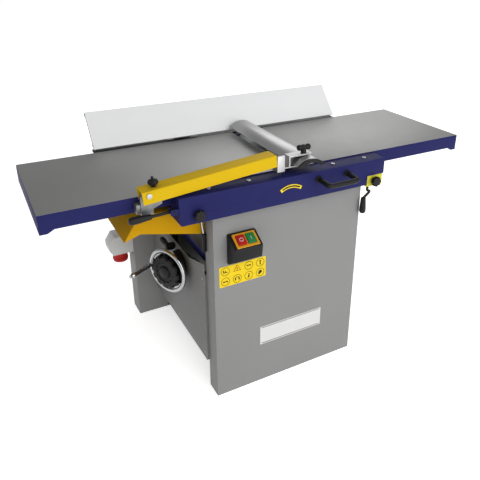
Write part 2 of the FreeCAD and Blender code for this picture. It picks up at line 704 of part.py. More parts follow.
def make_thickness_lock():
    """Black clamp handle above the handwheel: a stud in the side panel's top edge and a fat grip."""
    stud = rod("x", ("100", "side_high - 22"), ("-side_face - 22", "-side_face + 14"), "7")
    hub = rod("x", ("100", "side_high - 22"), ("-side_face - 40", "-side_face - 4"), "15")
    grip = block(("-side_face - 40", "-side_face - 18"), ("100", "172"), ("side_high - 32", "side_high - 12"))
    end = rod("x", ("172", "side_high - 22"), ("-side_face - 40", "-side_face - 18"), "10")
    node("thickness_lock", join([stud, hub, grip, end]))


# ---- surface tables ----------------------------------------------------------------

def table_shell(low, high, end_sign, ribs, rollers):
    """Open-bottomed cast table: skin, rims, a deep outer end and cross ribs."""
    outside = block((low, high), ("-table_half", "table_half"), ("rim_low", "table_top"))
    pocket = block((f"{low} + rim_wall", f"{high} - rim_wall"), ("-table_half + rim_wall", "table_half - rim_wall"),
                   ("rim_low - 1", "table_top - table_skin"))
    pieces = [carve(outside, [pocket])]
    pieces += [block((f"{x} - rib_wall / 2", f"{x} + rib_wall / 2"), ("-table_half + 1", "table_half - 1"),
                     ("table_top - rib_depth", "table_top - 1")) for x in ribs]
    tip = (low, f"{low} + end_wall") if end_sign < 0 else (f"{high} - end_wall", high)
    pieces.append(block(tip, ("-table_half", "table_half"), ("table_top - end_drop", "table_top")))
    for sign in (-1, 1):
        edge = "-table_half" if sign < 0 else "table_half - rim_wall"
        toe = f"{low}" if end_sign < 0 else f"{high}"
        way = "+" if end_sign < 0 else "-"
        outline = [(toe, "table_top - end_drop"), (f"{toe} {way} end_wall * 1.6", "table_top - end_drop"),
                   (f"{toe} {way} end_wall * 3.2", "rim_low + 1"), (toe, "rim_low + 1")]
        pieces.append(prism("XZ", outline, (edge, f"{edge} + rim_wall"), "Gusset"))
    inner = (f"{high} - rim_wall - 1", f"{high} + 1") if end_sign < 0 else (f"{low} - 1", f"{low} + rim_wall + 1")
    window = block(inner, ("-table_half + rim_wall", "table_half - rim_wall"),
                   ("rim_low - 1", "shoulder_high + infeed_drop + 3"))
    notch_end, head_room = (f"{high} + 1", 14) if end_sign < 0 else (f"{rollers} + roller_shaft + 10", 13)
    notch = block((f"{rollers} - roller_shaft - 10", notch_end), ("table_half - rim_wall - 1", "table_half + 1"),
                  ("rim_low - 1", f"roller_z + roller_shaft + {head_room}"))
    return pieces, [notch, window]


def make_tables():
    out_ribs = [f"-outfeed_reach * {share}" for share in (0.8, 0.6, 0.4, 0.2)]
    pieces, cuts = table_shell("-outfeed_reach", "outfeed_end", -1, out_ribs, "cutter_x - roller_offset")
    node("outfeed_table", carve(join(pieces), cuts))
    in_ribs = [f"infeed_end + (infeed_reach - infeed_end) * {share}" for share in (0.2, 0.4, 0.6, 0.8)]
    pieces, cuts = table_shell("infeed_end", "infeed_reach", 1, in_ribs, "cutter_x + roller_offset")
    for y in ("-150", "150"):
        pieces.append(rod("z", ("carrier_x", y), ("rim_low + 1", "table_top - table_skin + 1"), "post_radius + 8"))
        cuts.append(rod("z", ("carrier_x", y), ("rim_low - 1", "table_top - table_skin - 1"),
                        "post_radius + running_fit"))
    node("infeed_table", carve(join(pieces), cuts))


def make_beam():
    """Folded front beam that ties both tables, open at the back, with a cut-out at the right."""
    outline = [("-beam_left", "beam_low"), ("notch_left", "beam_low"), ("notch_left", "notch_high"),
               ("beam_right", "notch_high"), ("beam_right", "beam_top"), ("-beam_left", "beam_top")]
    beam = prism("XZ", outline, ("-beam_front", "-table_half"), "Beam", rounds={0: "beam_corner"})
    wall = "beam_wall"
    hollow = [block((f"-beam_left + {wall}", f"notch_left - {wall}"), (f"-beam_front + {wall}", "-table_half + 1"),
                    (f"beam_low + {wall}", f"beam_top - {wall}")),
              block((f"notch_left - {wall} - 1", f"beam_right - {wall}"), (f"-beam_front + {wall}", "-table_half + 1"),
                    (f"notch_high + {wall}", f"beam_top - {wall}"))]
    relief = block(("cutter_x + 5", "beam_right + 1"), ("-table_half - beam_relief", "-table_half + 1"),
                   ("beam_low - 1", "beam_top + 1"))
    stud_hole = rod("y", ("-361", "785"), ("-beam_front - 1", "-beam_front + 20"), "stud_radius + running_fit")
    cheeks = [block(("-beam_left - 25", "-beam_left + 1"), (f"-lever_y {low}", f"-lever_y {high}"), ("794", "812"))
              for low, high in (("- 13", "- 8"), ("+ 8", "+ 13"))]
    pivot_hole = rod("y", ("-beam_left - 13", "803"), ("-lever_y - 14", "-lever_y + 14"), "4 + running_fit")
    node("front_beam", carve(join([beam] + cheeks), hollow + [relief, stud_hole, pivot_hole]))
    screws = []
    for x in ("-309", "-167", "167", "305"):
        head = rod("z", (x, "-262"), ("beam_top", "beam_top + 3"), "7")
        socket = rod("z", (x, "-262"), ("beam_top + 0.5", "beam_top + 4"), "3")
        screws.append(carve(head, [socket]))
    node("beam_screws", group(screws))


def hinge_arms(places, gap):
    """Arms from a bar behind a table to the hinge pins, with a gap between the bar and the table."""
    near = f"table_half + {gap}"
    pieces = []
    for x in places:
        span = (f"{x} - hinge_arm / 2", f"{x} + hinge_arm / 2")
        outline = [(near, "rim_low + 2"), ("hinge_y - 20", "hinge_z - hinge_eye"),
                   ("hinge_y", "hinge_z - hinge_eye"), ("hinge_y", "hinge_z + hinge_eye"),
                   ("hinge_y - 10", "hinge_z + hinge_eye"), (f"{near} + 40", "table_top - 18"),
                   (near, "table_top - 18")]
        arm = join([prism("YZ", outline, span, "HingeArm"),
                    rod("x", ("hinge_y", "hinge_z"), span, "hinge_eye")])
        bore = rod("x", ("hinge_y", "hinge_z"), (f"{x} - hinge_arm", f"{x} + hinge_arm"),
                   "hinge_pin_radius + running_fit")
        pieces.append(carve(arm, [bore]))
    return pieces


def make_rear_arms():
    """Hinge arms of both tables, the infeed pair with the carrier that guides its table up and down."""
    bar = block(("-300 - hinge_arm", "-120 + hinge_arm"), ("table_half", "table_half + 12"),
                ("rim_low + 2", "table_top - 18"))
    node("outfeed_hinge_arms", join(hinge_arms(("-300", "-120"), "0") + [bar]))
    near = "table_half + beam_relief"
    across = ("carrier_x - 15", "carrier_x + 15")
    pieces = hinge_arms(("210", "280"), "beam_relief")
    pieces.append(block(("210 - hinge_arm", "carrier_x + 15"), (near, f"{near} + 12"),
                        ("rim_low + 2", "table_top - 18")))
    pieces.append(block(across, (near, f"{near} + 12"), ("notch_high - 1", "rim_low + 3")))
    pieces.append(block(across, ("-table_half - 10", f"{near} + 12"), ("notch_high - 12", "notch_high")))
    for y in ("-150", "150"):
        pieces.append(rod("z", ("carrier_x", y), ("notch_high - 1", "table_top - table_skin - infeed_drop - 3"),
                          "post_radius"))
    node("infeed_carrier", join(pieces))


def make_pull_handle():
    """Black D handle on the front beam."""
    feet = [rod("y", (x, "817"), ("-beam_front - 66", "-beam_front"), "8") for x in ("84", "204")]
    bar = rod("x", ("-beam_front - 66", "817"), ("84", "204"), "8")
    ends = []
    for x in ("84", "204"):
        ball = doc.addObject("Part::Sphere", "Elbow")
        bind(ball, "Radius", "8")
        for letter, value in zip("xyz", (x, "-beam_front - 66", "817")):
            bind(ball, f"Placement.Base.{letter}", value)
        ends.append(ball)
    pads = [rod("y", (x, "817"), ("-beam_front - 5", "-beam_front"), "13") for x in ("84", "204")]
    node("pull_handle", join(feet + [bar] + ends + pads))


def lobed_knob(axis, centre, span, radius, lobes=5):
    """A hand knob: a disc with round lobes at its edge."""
    pieces = [rod(axis, centre, span, f"({radius}) * 0.82")]
    first, second = centre
    for k in range(lobes):
        angle = 360 / lobes * k
        spot = (f"{first} + ({radius}) * 0.68 * cos({angle} * 1deg)",
                f"{second} + ({radius}) * 0.68 * sin({angle} * 1deg)")
        pieces.append(rod(axis, spot, span, f"({radius}) * 0.32"))
    return pieces


def make_beam_knobs():
    """Round lock knobs on the beam and on the yellow stop block."""
    for label, x, z, face in (("lock_knob_left", "-361", "785", "-beam_front"),
                              ("lock_knob_right", "332", "765", "-beam_front + 4")):
        pieces = lobed_knob("y", (x, z), (f"{face} - 25", f"{face} - 7"), "knob_radius", 8)
        pieces.append(rod("y", (x, z), (f"{face} - 8", f"{face} - 0.3"), "10"))
        pieces.append(rod("y", (x, z), (f"{face} - 8", f"{face} + 16"), "stud_radius"))
        node(label, join(pieces))


def make_stop_block():
    """Yellow block in the beam's cut-out, which carries the infeed lever and the right knob."""
    solid = block(("notch_left + 2", "beam_right - 1"), ("-beam_front + 4", "-table_half - 12"),
                  ("beam_low - 10", "notch_high"))
    cuts = [rod("y", ("332", "765"), ("-beam_front", "-beam_front + 22"), "stud_radius + running_fit"),
            rod("z", ("318", "-lever_y"), ("beam_low - 20", "beam_low + 10"), "stud_radius + running_fit")]
    node("stop_block", carve(solid, cuts))


def make_levers():
    """Table lock lever at the left end of the beam, and the cranked lever under the stop block."""
    pivot = rod("y", ("0", "0"), ("-13", "13"), "4")
    hub = rod("y", ("0", "0"), ("-7.7", "7.7"), "10")
    bar = rod("x", ("0", "0"), ("-72", "0"), "5")
    grip = rod("x", ("0", "0"), ("-140", "-70"), "12", top="9")
    place = ("-beam_left - 13", "-lever_y", "803")
    tilted_node("table_lock_lever", join([pivot, hub, bar, grip]), place, (0, 1, 0), "lever_dip")
    spot = ("318", "-lever_y")
    post = rod("z", spot, ("beam_low - 44", "beam_low + 4"), "stud_radius")
    crank = block(("300", "323"), ("-lever_y - 5", "-lever_y + 5"), ("beam_low - 44", "beam_low - 35"))
    stem = rod("z", ("304", "-lever_y"), ("beam_low - 62", "beam_low - 36"), "6")
    grip = rod("z", ("304", "-lever_y"), ("beam_low - 122", "beam_low - 60"), "12.5", top="10")
    node("infeed_lever", join([post, crank, stem, grip]))


# ---- fence ---------------------------------------------------------------------------

def make_fence():
    """Aluminium fence, modelled upright about its tilt pin and then leaned back."""
    along = ("-fence_left", "fence_right")
    plate = block(along, ("-fence_thick - 4", "-fence_pin_radius - 1"), ("-4", "fence_tall"))
    hook = block(along, ("-5", "3"), ("fence_tall - 14", "fence_tall"))
    foot = block(along, ("-5", "3"), ("13", "22"))
    eyes = []
    for span in (("-fence_x - 62", "-fence_x - 36"), ("-fence_x + 36", "-fence_x + 62")):
        eyes += [rod("x", ("0", "0"), span, "fence_pin_radius + 1.4"), block(span, ("-5", "0"), ("-4", "4"))]
    bore = rod("x", ("0", "0"), ("-fence_x - 70", "-fence_x + 70"), "fence_pin_radius + running_fit")
    fence = carve(join([plate, hook, foot] + eyes), [bore])
    tilted_node("fence_plate", fence, ("0", "fence_pin_y", "fence_pin_z"), (-1, 0, 0), "fence_lean")


def make_fence_carriage():
    """Guide block behind the outfeed table, the bar that slides in it, and the bar's clamp."""
    bar_z = "table_top + 22"
    bore = rod("y", ("-fence_x", bar_z), ("280", "380"), "11 + running_fit")
    stud_hole = rod("z", ("-fence_x", "340"), (f"{bar_z} + 11.5", f"{bar_z} + 30"), "5 + running_fit")
    stand = block(("-fence_x - 18", "-fence_x + 18"), ("table_half + 12", "312"), ("rim_low + 6", "table_top - 5"))
    head = block(("-fence_x - 22", "-fence_x + 22"), ("300.5", "360"), ("rim_low + 6", f"{bar_z} + 21"))
    beside = ("table_half + clear_gap", "table_half + 9")
    behind = ("table_half + 8", "table_half + 45")
    rails = []
    for span in (("-fence_left", "-10"), ("110", "fence_right")):
        rails.append([block(span, beside, ("table_top - 18", "table_top - 1")),
                      block(span, behind, ("table_top - 10", "table_top - 1"))])
    guide = carve(join([stand, head] + rails[0]), [bore, stud_hole])
    node("fence_guide", group([guide, join(rails[1])]))
    pin = rod("x", ("fence_pin_y", "fence_pin_z"), ("-fence_x - 64", "-fence_x + 64"), "fence_pin_radius")
    nose = rod("x", ("fence_pin_y", "fence_pin_z"), ("-fence_x - 34", "-fence_x + 34"), "fence_pin_radius + 0.6")
    link = block(("-fence_x - 34", "-fence_x + 34"), ("fence_pin_y", "297"),
                 ("fence_pin_z - 3.6", "fence_pin_z + 2"))
    riser = block(("-fence_x - 16", "-fence_x + 16"), ("285", "297"), ("fence_pin_z - 3.6", f"{bar_z} + 13"))
    bar = rod("y", ("-fence_x", bar_z), ("290", "368 + fence_travel"), "11")
    node("fence_carriage", join([pin, nose, link, riser, bar]))
    stud = rod("z", ("-fence_x", "340"), (f"{bar_z} + 12", f"{bar_z} + 34"), "5")
    hub = rod("z", ("-fence_x", "340"), (f"{bar_z} + 21.3", f"{bar_z} + 33"), "10")
    arm = block(("-fence_x", "-fence_x + 58"), ("336", "344"), (f"{bar_z} + 24", f"{bar_z} + 31"))
    ball = rod("x", ("340", f"{bar_z} + 27.5"), ("-fence_x + 54", "-fence_x + 84"), "8")
    node("fence_clamp_lever", join([stud, hub, arm, ball]))


def make_guard():
    """Bridge guard: pivot bracket, folded arm, arched blade and its clamp."""
    post = block(("-540", "-500"), ("-table_half - 30", "-table_half"), ("805", "835"))
    plate = prism("XZ", [("-528", "800"), ("-490", "800"), ("-490", "818"), ("-462", "830"), ("-462", "844"),
                         ("-478", "864"), ("-495", "877"), ("-520", "877"), ("-528", "860")],
                  ("-arm_y - 6", "-arm_y + 6"), "PivotPlate")
    link = block(("-528", "-500"), ("-arm_y", "-table_half - 20"), ("806", "834"))
    bolt_hole = rod("y", ("-arm_pivot_x", "arm_pivot_z"), ("-arm_y - 20", "-arm_y + 20"), "4 + running_fit")
    node("guard_bracket", carve(join([post, plate, link]), [bolt_hole]))
    outside = block(("-20", "arm_long"), ("-arm_half", "arm_half"), ("-26", "14"))
    inside = block(("-21", "arm_long + 1"), ("-arm_half + arm_wall", "arm_half - arm_wall"), ("-27", "14 - arm_wall"))
    knob_hole = rod("z", ("25", "0"), ("5", "20"), "4 + running_fit")
    bolt = rod("y", ("0", "0"), ("-arm_half - 5", "arm_half + 2"), "4")
    head = rod("y", ("0", "0"), ("-arm_half - 5", "-arm_half"), "8")
    arm = join([carve(outside, [inside, knob_hole]), bolt, head])
    place = ("-arm_pivot_x", "-arm_y", "arm_pivot_z")
    tilted_node("guard_arm", arm, place, (0, -1, 0), "arm_pitch")
    knob = lobed_knob("z", ("25", "0"), ("20", "36"), "16", 5)
    knob += [rod("z", ("25", "0"), ("14.4", "21"), "8"), rod("z", ("25", "0"), ("3", "46"), "4")]
    tilted_node("guard_knob", join(knob), place, (0, -1, 0), "arm_pitch")
    # the clamp is cranked round the blade's left edge
    low = block(("-73", "80"), ("-arm_y - 8", "-arm_y + 26"), ("864", "869"))
    pad = block(("24", "70"), ("-arm_y - 8", "-arm_y + 26"), ("868", "882"))
    cheek = block(("-17", "-12"), ("-arm_y - 8", "-arm_y + 26"), ("864", "906"))
    over = block(("-17", "72"), ("-arm_y - 8", "-arm_y + 26"), ("901", "906"))
    riser = block(("-73", "-45"), ("-arm_y - 26", "-arm_y - 20"), ("864", "919"))
    end = block(("-73", "-61"), ("-arm_y - 24", "-arm_y + 24"), ("864", "900"))
    hole = rod("z", ("blade_x", "-arm_y + 6"), ("895", "910"), "4 + running_fit")
    node("blade_clamp", carve(join([low, pad, cheek, over, riser, end]), [hole]))
    spot = ("blade_x", "-arm_y + 6")
    stem = rod("z", spot, ("906.4", "918"), "8")
    stud = rod("z", spot, ("899.5", "907"), "4")
    bar = rod("x", ("-arm_y + 6", "925"), ("blade_x - 20", "blade_x + 20"), "8")
    wings = [rod("x", ("-arm_y + 6", "925"), span, "10")
             for span in (("blade_x - 27", "blade_x - 12"), ("blade_x + 12", "blade_x + 27"))]
    node("blade_knob", join([stem, stud, bar] + wings))
    span = ("-blade_near", "blade_far")
    arch = ring("y", ("blade_x", "blade_axis_z"), span, "blade_arc - blade_thick", "blade_arc")
    keep = block(("blade_x - 60", "blade_x + 60"), ("-blade_near - 1", "blade_far + 1"), ("blade_edge", "blade_crown + 1"))
    node("guard_blade", overlap([arch, keep]))
    span = ("-blade_near - 9", "-blade_near")
    arch = ring("y", ("blade_x", "blade_axis_z"), span, "blade_arc - blade_thick * 4", "blade_arc + 1")
    keep = block(("blade_x - 60", "blade_x + 60"), ("-blade_near - 10", "-blade_near"),
                 ("blade_edge - 3", "blade_crown + 2"))
    node("blade_end_cap", overlap([arch, keep]))


# ---- chip hood, switch and inlet -----------------------------------------------------

def make_hood():
    """Folded chip hood under the outfeed table, open towards the cutterhead."""
    outer = [("-290", "650.4"), ("-518", "704"), ("-572", "686"), ("-520", "766"), ("-290", "766")]
    inner = [("-286", "652.9"), ("-517", "707.5"), ("-565", "692"), ("-519", "763"), ("-286", "763")]
    shell = prism("XZ", outer, ("-194", "194"), "HoodOuter")
    hollow = prism("XZ", inner, ("-191", "191"), "HoodInner")
    tabs = [block(("-296", "-262"), mirrored(sign, "191.5", "casting_inner"), ("746", "764")) for sign in (-1, 1)]
    node("chip_hood", join([carve(shell, [hollow])] + tabs))


def make_switch():
    """Wedge-shaped switch box with a bezel and two buttons on its sloping face."""
    front = "-cabinet_front"
    outline = [(front, "560"), (front, "672"), (f"{front} - 10", "672"), (f"{front} - 66", "640"),
               (f"{front} - 60", "592"), (f"{front} - 10", "560")]
    node("switch_box", prism("YZ", outline, ("-252", "-148"), "SwitchBox"))
    place = ("-200", f"{front} - 38", "656")
    bezel = block(("-42", "42"), ("-28", "28"), ("0.1", "5"))
    pockets = [block((low, high), ("-20", "20"), ("1", "6")) for low, high in (("-34", "-2"), ("2", "34"))]
    tilted_node("switch_bezel", carve(bezel, pockets), place, (1, 0, 0), "switch_slope")
    for label, low, high in (("stop_button", "-33.5", "-2.5"), ("start_button", "2.5", "33.5")):
        cap = block((low, high), ("-19.5", "19.5"), ("3.5", "9"))
        tilted_node(label, cap, place, (1, 0, 0), "switch_slope")


def make_electrical_box():
    """Box with cut corners on the rear column and the inlet that points down under it."""
    outline = [("-rear_half", "324"), ("-rear_half - 88", "324"), ("-rear_half - 102", "346"),
               ("-rear_half - 102", "372"), ("-rear_half - 78", "410"), ("-rear_half", "410")]
    box = prism("XZ", outline, ("rear_front + 4", "rear_face - 8"), "BoxOutline")
    node("electrical_box", box)
    centre = ("-rear_half - 52", "rear_front + 43")
    collar = rod("z", centre, ("282", "324"), "33")
    mouth = rod("z", centre, ("281", "312"), "27")
    pins = [rod("z", (f"-rear_half - 52 + 15 * cos({72 * k} * 1deg)", f"rear_front + 43 + 15 * sin({72 * k} * 1deg)"),
                ("288", "313"), "3.2") for k in range(5)]
    node("power_inlet", join([carve(collar, [mouth])] + pins))


make_front_shell()
make_rear_shell()
make_side_panels()
make_base_plate()
make_columns()
casting(-1, "front_casting")
casting(1, "rear_casting")
make_bearings()
make_hinge_brackets()
make_motor()
make_cutterhead()
make_belt()
make_feed_rollers()
make_chains()
make_kickback()
make_thickness_table()
make_lift()
make_gearbox()
make_handwheel()
make_thickness_lock()
make_tables()
make_beam()
make_rear_arms()
make_pull_handle()
make_beam_knobs()
make_stop_block()
make_levers()
make_fence()
make_fence_carriage()
make_guard()
make_hood()
make_switch()
make_electrical_box()

doc.recompute()
faults = [thing.Label for thing in doc.Objects if {"Invalid", "Error"} & set(thing.State)]
faults += [thing.Label for thing in NODES if thing.Shape.isNull() or not thing.Shape.isValid()]
if faults:
    raise SystemExit("faulty objects: " + ", ".join(faults))
os.makedirs("parts", exist_ok=True)
for thing in NODES:
    thing.Shape.exportStep(f"parts/{thing.Label}.step")
print(len(NODES), "sub-parts")
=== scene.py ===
"""Looks of a surface planer and thicknesser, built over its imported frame, in metres."""

import json
import logging
import math
from dataclasses import dataclass, field
from enum import Enum
from typing import Callable, Sequence

import bmesh
import bpy
from mathutils import Matrix, Vector


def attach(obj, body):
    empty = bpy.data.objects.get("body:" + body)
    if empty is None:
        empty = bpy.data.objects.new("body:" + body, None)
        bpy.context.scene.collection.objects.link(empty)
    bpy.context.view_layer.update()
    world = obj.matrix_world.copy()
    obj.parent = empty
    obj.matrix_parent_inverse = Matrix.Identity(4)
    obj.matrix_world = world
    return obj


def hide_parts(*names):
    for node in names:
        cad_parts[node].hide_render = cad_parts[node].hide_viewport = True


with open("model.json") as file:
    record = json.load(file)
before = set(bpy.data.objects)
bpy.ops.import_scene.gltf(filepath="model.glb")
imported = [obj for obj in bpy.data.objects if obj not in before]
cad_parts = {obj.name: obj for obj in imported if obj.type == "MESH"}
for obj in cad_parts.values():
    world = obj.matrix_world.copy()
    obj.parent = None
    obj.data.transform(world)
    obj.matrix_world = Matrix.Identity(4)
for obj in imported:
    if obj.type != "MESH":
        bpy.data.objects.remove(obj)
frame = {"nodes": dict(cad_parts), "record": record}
LOG = logging.getLogger("planer")
SHIFT = 0.0995
BODIES = frame["record"]["behaviour"]["bodies"]
BODY_OF = {node: body for body, nodes in BODIES.items() for node in nodes}
SLOT_OF = {part["node"]: part["material_slot"] for part in frame["record"]["subparts"]}
Point = tuple[float, float, float]


def at(x: float, y: float, z: float) -> Vector:
    """A point of the frame from millimetres, with y measured from the tables' centre line."""
    return Vector((x / 1000, y / 1000 - SHIFT, z / 1000))


# ---- shader graphs ------------------------------------------------------------------


class Graph:
    """A node tree with short calls to add and link its nodes."""

    def __init__(self, tree: bpy.types.NodeTree) -> None:
        """Keep the tree that nodes are added to."""
        self.tree = tree

    def add(self, kind: str, sockets: dict | None = None, **settings) -> bpy.types.Node:
        """Add a node.

        Args:
            kind: The node's type name.
            sockets: Values or output sockets by input name or number.
            settings: Attributes set on the node itself.

        Returns:
            The new node.
        """
        node = self.tree.nodes.new(kind)
        for name, value in settings.items():
            setattr(node, name, value)
        for name, value in (sockets or {}).items():
            if isinstance(value, bpy.types.NodeSocket):
                self.tree.links.new(value, node.inputs[name])
            else:
                node.inputs[name].default_value = value
        return node

    def math(self, operation: str, first, second=0.0, clamp: bool = False) -> bpy.types.NodeSocket:
        """A Math node's output."""
        node = self.add("ShaderNodeMath", {0: first, 1: second}, operation=operation, use_clamp=clamp)
        return node.outputs[0]

    def mix(self, factor, first, second) -> bpy.types.NodeSocket:
        """A colour mix of two colours or sockets."""
        node = self.add("ShaderNodeMix", data_type="RGBA")
        for index, value in ((0, factor), (6, first), (7, second)):
            if isinstance(value, bpy.types.NodeSocket):
                self.tree.links.new(value, node.inputs[index])
            else:
                node.inputs[index].default_value = value
        return node.outputs[2]

    def ramp(self, value: bpy.types.NodeSocket, low: float, high: float) -> bpy.types.NodeSocket:
        """The value stretched so that low gives 0 and high gives 1."""
        node = self.add("ShaderNodeMapRange", {0: value, 1: low, 2: high})
        return node.outputs[0]


def effect(name: str, inputs: dict[str, float | Point], outputs: dict[str, str],
           build: Callable[[Graph, dict], dict]) -> bpy.types.NodeTree:
    """Make a shader node group once.

    Args:
        name: The group's name.
        inputs: Defaults by input name; a triple makes a vector socket.
        outputs: Socket types by output name.
        build: Draws the group's nodes from its input sockets and returns its output sockets.

    Returns:
        The node group.
    """
    tree = bpy.data.node_groups.new(name, "ShaderNodeTree")
    for label, value in inputs.items():
        kind = "NodeSocketVector" if isinstance(value, tuple) else "NodeSocketFloat"
        socket = tree.interface.new_socket(label, in_out="INPUT", socket_type=kind)
        socket.default_value = value
    for label, kind in outputs.items():
        tree.interface.new_socket(label, in_out="OUTPUT", socket_type=kind)
    graph = Graph(tree)
    start = graph.add("NodeGroupInput")
    made = build(graph, {label: start.outputs[label] for label in inputs})
    graph.add("NodeGroupOutput", made)
    return tree


def draw_mottle(graph: Graph, given: dict) -> dict:
    """Large soft patches."""
    place = graph.add("ShaderNodeTexCoord").outputs["Object"]
    noise = graph.add("ShaderNodeTexNoise", {"Vector": place, "Scale": given["Scale"], "Detail": 5.0,
                                             "Roughness": 0.6, "Distortion": 0.4})
    half = graph.math("MULTIPLY", given["Contrast"], 0.5)
    low = graph.math("SUBTRACT", 0.5, half)
    high = graph.math("ADD", 0.5, half)
    node = graph.add("ShaderNodeMapRange", {0: noise.outputs[0], 1: low, 2: high})
    return {"Mask": node.outputs[0]}


def draw_grain(graph: Graph, given: dict) -> dict:
    """Fine grain, stretched along one axis where asked, as a mask and a normal."""
    place = graph.add("ShaderNodeTexCoord").outputs["Object"]
    stretched = graph.add("ShaderNodeVectorMath", {0: place, 1: given["Stretch"]}, operation="MULTIPLY")
    noise = graph.add("ShaderNodeTexNoise", {"Vector": stretched.outputs[0], "Scale": given["Scale"],
                                             "Detail": 3.0, "Roughness": 0.55})
    bump = graph.add("ShaderNodeBump", {"Strength": given["Strength"], "Distance": given["Depth"],
                                        "Height": noise.outputs[0]})
    return {"Mask": noise.outputs[0], "Normal": bump.outputs[0]}


def draw_wear(graph: Graph, given: dict) -> dict:
    """Broken rubbing on the rounded edges, which the meshes mark with an attribute."""
    worn = graph.add("ShaderNodeAttribute", attribute_name="worn").outputs["Fac"]
    place = graph.add("ShaderNodeTexCoord").outputs["Object"]
    noise = graph.add("ShaderNodeTexNoise", {"Vector": place, "Scale": given["Scale"], "Detail": 6.0})
    broken = graph.ramp(noise.outputs[0], 0.46, 0.62)
    mask = graph.math("MULTIPLY", worn, broken)
    return {"Mask": graph.math("MULTIPLY", mask, given["Amount"], clamp=True)}


def draw_dust(graph: Graph, given: dict) -> dict:
    """Fine wood dust that lies on upward faces."""
    normal = graph.add("ShaderNodeNewGeometry").outputs["Normal"]
    up = graph.add("ShaderNodeSeparateXYZ", {0: normal}).outputs[2]
    place = graph.add("ShaderNodeTexCoord").outputs["Object"]
    noise = graph.add("ShaderNodeTexNoise", {"Vector": place, "Scale": given["Scale"], "Detail": 8.0})
    lying = graph.ramp(up, 0.55, 0.95)
    patch = graph.ramp(noise.outputs[0], 0.45, 0.75)
    both = graph.math("MULTIPLY", lying, patch)
    return {"Mask": graph.math("MULTIPLY", both, given["Amount"], clamp=True)}


FLOAT = "NodeSocketFloat"
EFFECTS = {
    "mottle": effect("soft_mottle", {"Scale": 6.0, "Contrast": 0.6}, {"Mask": FLOAT}, draw_mottle),
    "grain": effect("surface_grain", {"Scale": 300.0, "Stretch": (1.0, 1.0, 1.0), "Strength": 0.2,
                                      "Depth": 0.001},
                    {"Mask": FLOAT, "Normal": "NodeSocketVector"}, draw_grain),
    "wear": effect("edge_wear", {"Scale": 120.0, "Amount": 0.6}, {"Mask": FLOAT}, draw_wear),
    "dust": effect("wood_dust", {"Scale": 18.0, "Amount": 0.2}, {"Mask": FLOAT}, draw_dust),
}


def place_effect(graph: Graph, name: str, values: dict) -> bpy.types.Node:
    """Put one of the shared effects into a material with its own values."""
    node = graph.add("ShaderNodeGroup", node_tree=EFFECTS[name])
    for label, value in values.items():
        node.inputs[label].default_value = value
    return node


class Look(Enum):
    """How light leaves a surface."""

    PAINT = "paint"
    METAL = "metal"
    PLASTIC = "plastic"


@dataclass(frozen=True)
class Finish:
    """One surface finish: its colours, gloss, grain, wear and dust."""

    name: str
    colour: Point
    rough: float = 0.4
    look: Look = Look.PAINT
    second: Point | None = None
    patch_scale: float = 5.0
    patch_contrast: float = 0.7
    rough_swing: float = 0.08
    grain_scale: float = 700.0
    grain_stretch: Point = (1.0, 1.0, 1.0)
    grain_strength: float = 0.15
    grain_depth: float = 0.0004
    grain_tint: float = 0.06
    wear: float = 0.0
    wear_colour: Point = (0.62, 0.62, 0.6)
    dust: float = 0.0
    coat: float = 0.0
    specular: float = 0.12

    def material(self) -> bpy.types.Material:
        """The material of this finish, made on first use."""
        label = self.name + "_finish"
        ready = bpy.data.materials.get(label)
        if ready:
            return ready
        made = bpy.data.materials.new(label)
        made.use_nodes = True
        made.diffuse_color = (*self.colour, 1.0)
        graph = Graph(made.node_tree)
        shader = made.node_tree.nodes["Principled BSDF"]
        second = self.second or tuple(0.82 * value for value in self.colour)
        patch = place_effect(graph, "mottle", {"Scale": self.patch_scale, "Contrast": self.patch_contrast})
        grain = place_effect(graph, "grain", {"Scale": self.grain_scale, "Stretch": self.grain_stretch,
                                              "Strength": self.grain_strength, "Depth": self.grain_depth})
        tone = graph.mix(patch.outputs["Mask"], (*self.colour, 1.0), (*second, 1.0))
        dark = tuple(0.45 * value for value in self.colour)
        amount = graph.math("MULTIPLY", grain.outputs["Mask"], self.grain_tint * 2)
        tone = graph.mix(amount, tone, (*dark, 1.0))
        if self.wear > 0:
            rub = place_effect(graph, "wear", {"Amount": self.wear})
            tone = graph.mix(rub.outputs["Mask"], tone, (*self.wear_colour, 1.0))
        swing = graph.math("MULTIPLY", patch.outputs["Mask"], self.rough_swing)
        rough = graph.math("ADD", swing, self.rough, clamp=True)
        if self.dust > 0:
            dust = place_effect(graph, "dust", {"Amount": self.dust})
            tone = graph.mix(dust.outputs["Mask"], tone, (0.55, 0.47, 0.36, 1.0))
            rough = graph.math("ADD", rough, dust.outputs["Mask"], clamp=True)
        links = made.node_tree.links
        links.new(tone, shader.inputs["Base Color"])
        links.new(rough, shader.inputs["Roughness"])
        links.new(grain.outputs["Normal"], shader.inputs["Normal"])
        shader.inputs["Metallic"].default_value = 1.0 if self.look is Look.METAL else 0.0
        shader.inputs["Coat Weight"].default_value = self.coat
        shader.inputs["Specular IOR Level"].default_value = self.specular
        shader.inputs["Coat Roughness"].default_value = 0.2
        return made


